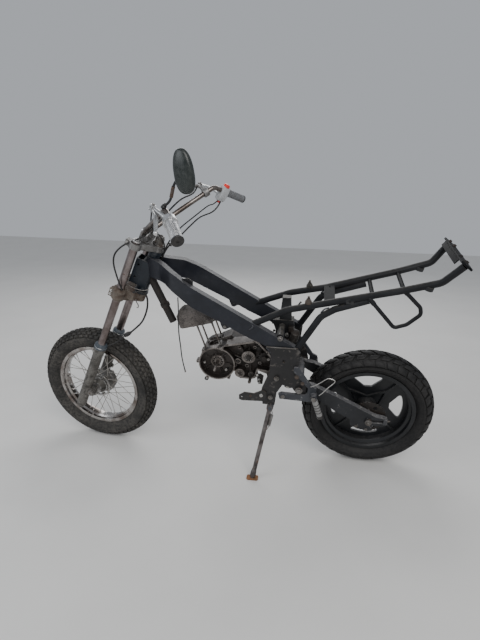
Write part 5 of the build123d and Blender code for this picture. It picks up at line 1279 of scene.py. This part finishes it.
def case_brackets():
    """The lever's bracket below the case, a bent stay with its eye, and the gasket's edge."""
    bracket = chassis("case_lever_bracket", "oily_steel")
    bracket.plate([(482, 430), (476, 476), (490, 486), (512, 484), (508, 466), (502, 430)], 70, 74, 1)
    bracket.plate([(486, 436), (486, 452), (506, 452), (506, 436)], 58, 71, 1)
    bracket.wire([(756, 26, 486), (748, 30, 470), (740, 30, 449), (745, 30, 428), (752, 30, 411)], 4)
    bracket.pipe((752, 26, 407), Y, 8, 10, 5)
    gasket = chassis("case_gasket", "machined")
    gasket.plate([(741, 563), (688, 611.5), (634, 637.5), (628, 634), (684, 607), (736, 560)], 2.6, 5.4, 0.4)


def clutch_cover():
    cover = chassis("cover_screws", "steel_bare")
    for centre, radius, angles in ((CLUTCH, 58, (60, 105, 150, 195, 240)), (CRANK, 36, (-70, -15, 40))):
        for angle in angles:
            at = polar(radius, angle, -78, centre)
            cover.turned(at, -Y, [(0, 9), (17, 8.4), (19, 7)], 20)
            cover.bolt(at - Y * 19, -Y, 4.6, "socket", washer=False)
    cover.turned((CLUTCH[0], -103, CLUTCH[1]), -Y, [(0, 34), (2.5, 33), (3.2, 30), (3.2, 22), (5, 20), (5.4, 8)], 48)


def cylinder():
    """Threads on the four long studs, and the rough head that hangs on them."""
    studs = Form("stud_threads", "steel_bare", "chassis", place_of(BIKE @ CYL_FOOT, CYL_AHEAD, SIDE, CYL_UP))
    for x in (-35.5, 35.5):
        for y in (-30, 30):
            studs.turned((x, y, 0), Z, thread(4.7, 22, 1.3), 14)
            studs.turned((x, y, 96), Z, thread(4.6, 24, 1.3), 14)
            studs.turned((x, y, 0), Z, [(-0.3, 8.2), (0.8, 8.6), (1.6, 8.2)], 22)
    roughen("cylinder_head", "head_alloy", 2.4, 34, 3.0)


# Shock: coil, ribbed end, collars and bolt heads
SHOCK_TOP = Vector((382, 0, 671))
SHOCK_LOW = Vector((368, 0, 400))


def shock():
    """What is seen of the shock absorber, at distances down its line."""
    down = (SHOCK_LOW - SHOCK_TOP).normalized()

    def at(distance):
        return SHOCK_TOP + down * distance

    chassis("shock_coil", "black_paint", "shock_spring").tube(helix(at(41), at(218), 22, 8, 22), 3.9, 12)
    body = chassis("shock_collars", "machined")
    body.pipe(at(26), down, 2.4, 28.4, 17.2, 44)
    body.pipe(at(34.4), down, 2, 28, 17.2, 44)
    body.pipe(at(222), down, 2.2, 28.4, 8.4, 44)
    body.pipe(at(146), down, 8, 18.6, 8.4, 36, 1.4)
    ends = chassis("shock_bolt_heads", "steel_bright")
    for point in (SHOCK_TOP, SHOCK_LOW):
        ends.pair(point.x, 29, point.z, 8)
    ribbed = chassis("shock_reservoir", "oily_steel")
    profile = [(0, 14)]
    for k in range(7):
        profile += [(2 + k * 7, 18), (3 + k * 7, 20), (6 + k * 7, 20), (7 + k * 7, 18)]
    ribbed.turned((344, 52, 700), (0.18, -0.3, -0.9), profile + [(54, 14), (55, 8)], 32)
    ribbed.plate([(352, 690), (354, 716), (376, 716), (376, 690)], 18, 44, 1.5)


# Rear: sprocket bolts, adjusters, axle ends and the arms' ridges
ARM_FACE = 108.2
ADJUSTER = ((-84, -12), (-84, 12), (-76, 15), (-66, 13), (-66, -13), (-76, -15))
ADJUSTER_Y = 94


def rear():
    two_tone("arm_paint", "ridge_paint", "swingarm", lambda normal, centre: abs(normal.dot(SIDE)) < 0.3)
    wheel = Form("rear_wheel_bolts", "steel_bare", "rear_wheel", REAR)
    for k in range(6):
        wheel.bolt(polar(36, 30 + 60 * k, 74.2), Y, 5)
        wheel.bolt(polar(36, 30 + 60 * k, -68), -Y, 5, "socket")
    wheel.turned((0, 68, 0), Y, [(6, 26), (7.4, 26), (7.8, 14)], 36)
    wheel.rod((0, -6, 197), (0, -6, 172), 3.4, 12, last=2.8)
    axle = Form("rear_axle_ends", "steel_bare", "chassis", REAR)
    adjust = Form("chain_adjusters", "ridge_paint", "chassis", REAR)
    for side in SIDES:
        axle.turned((0, side * (ARM_FACE + 11), 0), Y * side, [(-0.5, 13), (2.4, 13), (3, 12)], 30)
        adjust.plate(ADJUSTER, side * 79, side * 109, 1.5)
        y = side * ADJUSTER_Y
        axle.rod((-98, y, 0), (-20, y, 0), 3)
        axle.turned((-90, y, 0), X, [(0, 6.4), (5, 6.4), (6, 5.4)], 6)
    axle.pair(0, ARM_FACE + 12.6, 0, 10.6, washer=False, stud=3)
    axle.pair(50, ARM_FACE, -33, 6)
    axle.pair(6, ARM_FACE, -46, 5, "socket")


# Footrests and side stand
FOOT_AT = Vector((-0.1546, 0.0415, 0.006))
RUST_BELOW = 0.02


def footrests():
    tips = chassis("peg_tips", "black_plastic")
    parts = chassis("peg_parts", "steel_bare")
    for side in SIDES:
        top = Vector((250, side * 156.3, 440))
        low = Vector((214, side * 156.3, 336))
        down = (low - top).normalized()
        tips.turned(low - down * 12, down, [(0, 13.3), (1, 14.6), (9, 14.8), (13, 14), (16, 11.5), (17, 6)], 28)
        for k in range(4):
            tips.pipe(low - down * (74 - k * 14), down, 4, 13.7, 12.6, 28)
        parts.turned((250, side * 129, 440), Y * side, [(0, 8), (42, 8), (43.5, 10.5), (46, 10.5), (47, 8)])
        parts.tube([(252, side * 172, 446), (262, side * 173, 452)], 1.6)
    loop = chassis("peg_wire", "steel_bright")
    loop.wire([(263, 144, 488), (262, 152, 492), (228, 162, 522), (200, 165, 548), (182, 165, 549), (167, 165, 541),
               (172, 165, 527), (196, 164, 498), (214, 160, 470), (228, 156, 452)], 2.1, 6)


def stand():
    """The stand's bolt, spring and foot, in a frame of its own: x along the leg and z along its hinge."""
    at, axis = pivot("side_stand")
    leg = FOOT_AT - at
    along = leg.normalized()
    place = place_of(at, along, axis.cross(along), axis)
    long = leg.length / MM
    parts = Form("stand_bolt", "stand_steel", "side_stand", place)
    parts.turned((0, 0, 6), Z, [(0, 14), (1, 14.6), (2, 14)], 28)
    parts.wire([(22, 9, 0), (28, 14, 0), (34, 15, 2), (38, 11, 3)], 2.6)
    parts.turned((long - 40, 0, 0), X, [(0, 10.4), (14, 12.5), (30, 13.5), (36, 12)], 26)
    spring = Form("stand_spring", "steel_bare", "side_stand", place)
    spring.tube(helix((22, 17, 10), (78, 15, 4), 6, 12, 12), 1.5, 7)
    spring.wire([(0, 9, 14), (6, 12, 14), (14, 16, 12), (22, 17, 10)], 1.6)
    spring.wire([(78, 15, 4), (88, 14, 2), (98, 11, 0), (102, 6, 0)], 1.6)
    two_tone("stand_steel", "rust_orange", "side_stand", lambda normal, centre: centre.z < RUST_BELOW)
    foot = Form("stand_foot_rust", "rust_orange", "side_stand", place)
    foot.wire([(long - 8, -8, -8), (long - 10, 0, -11), (long - 8, 8, -8)], 3, ripple=0.2)


# Nodes that stay as they are, with their finishes
for row in (
    ("frame_paint", "spar_left", "spar_right"),
    ("rail_paint", "subframe_rails", "side_loop"),
    ("tail_paint", "subframe_crossbars", "tail_plate"),
    ("plate_paint", "pivot_plate_left", "pivot_plate_right", "rider_footrest_arms"),
    ("black_paint", "shock_mount", "shock_absorber"),
    ("chrome_bar", "handlebar", "cylinder_studs"),
    ("head_paint", "head_tube", "head_bracket"),
    ("bracket_paint", "passenger_brackets", "stand_bracket"),
    ("peg_alloy", "passenger_pegs"),
    ("wheel_paint", "rear_wheel"),
    ("stanchion", "fork_tubes"),
    ("leg_alloy", "fork_legs"),
    ("rust_beige", "lower_yoke"),
    ("rust_dark", "front_arm", "drive_sprocket"),
    ("oily_steel", "rear_sprocket"),
    ("yoke_alloy", "upper_yoke"),
    ("steel_bare", "shock_bolts", "pivot_bolt", "rear_axle", "engine_bolts", "shift_shaft"),
    ("case_alloy", "clutch_cover"),
):
    dress(*row)

loose_cable()
tyre("front_tyre_tread", FRONT_TYRE, FRONT_ROWS, 62, ("tyre", "tyre_block"), "front_tyre", "front_wheel", FORK)
tyre("rear_tyre_tread", REAR_TYRE, REAR_ROWS, 34, ("tyre_rear", "rear_block"), "rear_tyre", "rear_wheel", REAR)
two_tone("hub_dark", "alloy_hub", "front_hub", lambda normal, centre: normal.dot(FRONT_SIDE) > 0.9)
for draw in (
    front_wheel, front_axle, fork_legs, lower_yoke, controls, mirror, bar_clamps, switch, cables,
    frame_welds, head_rings, frame_bolts, seat_stacks, frame_trim, tail,
    case_halves, gear_chamber, crank_chamber, case_hole_shades, case_screws, case_brackets, clutch_cover, cylinder,
    shock, rear, footrests, stand, finish_forms,
):
    draw()
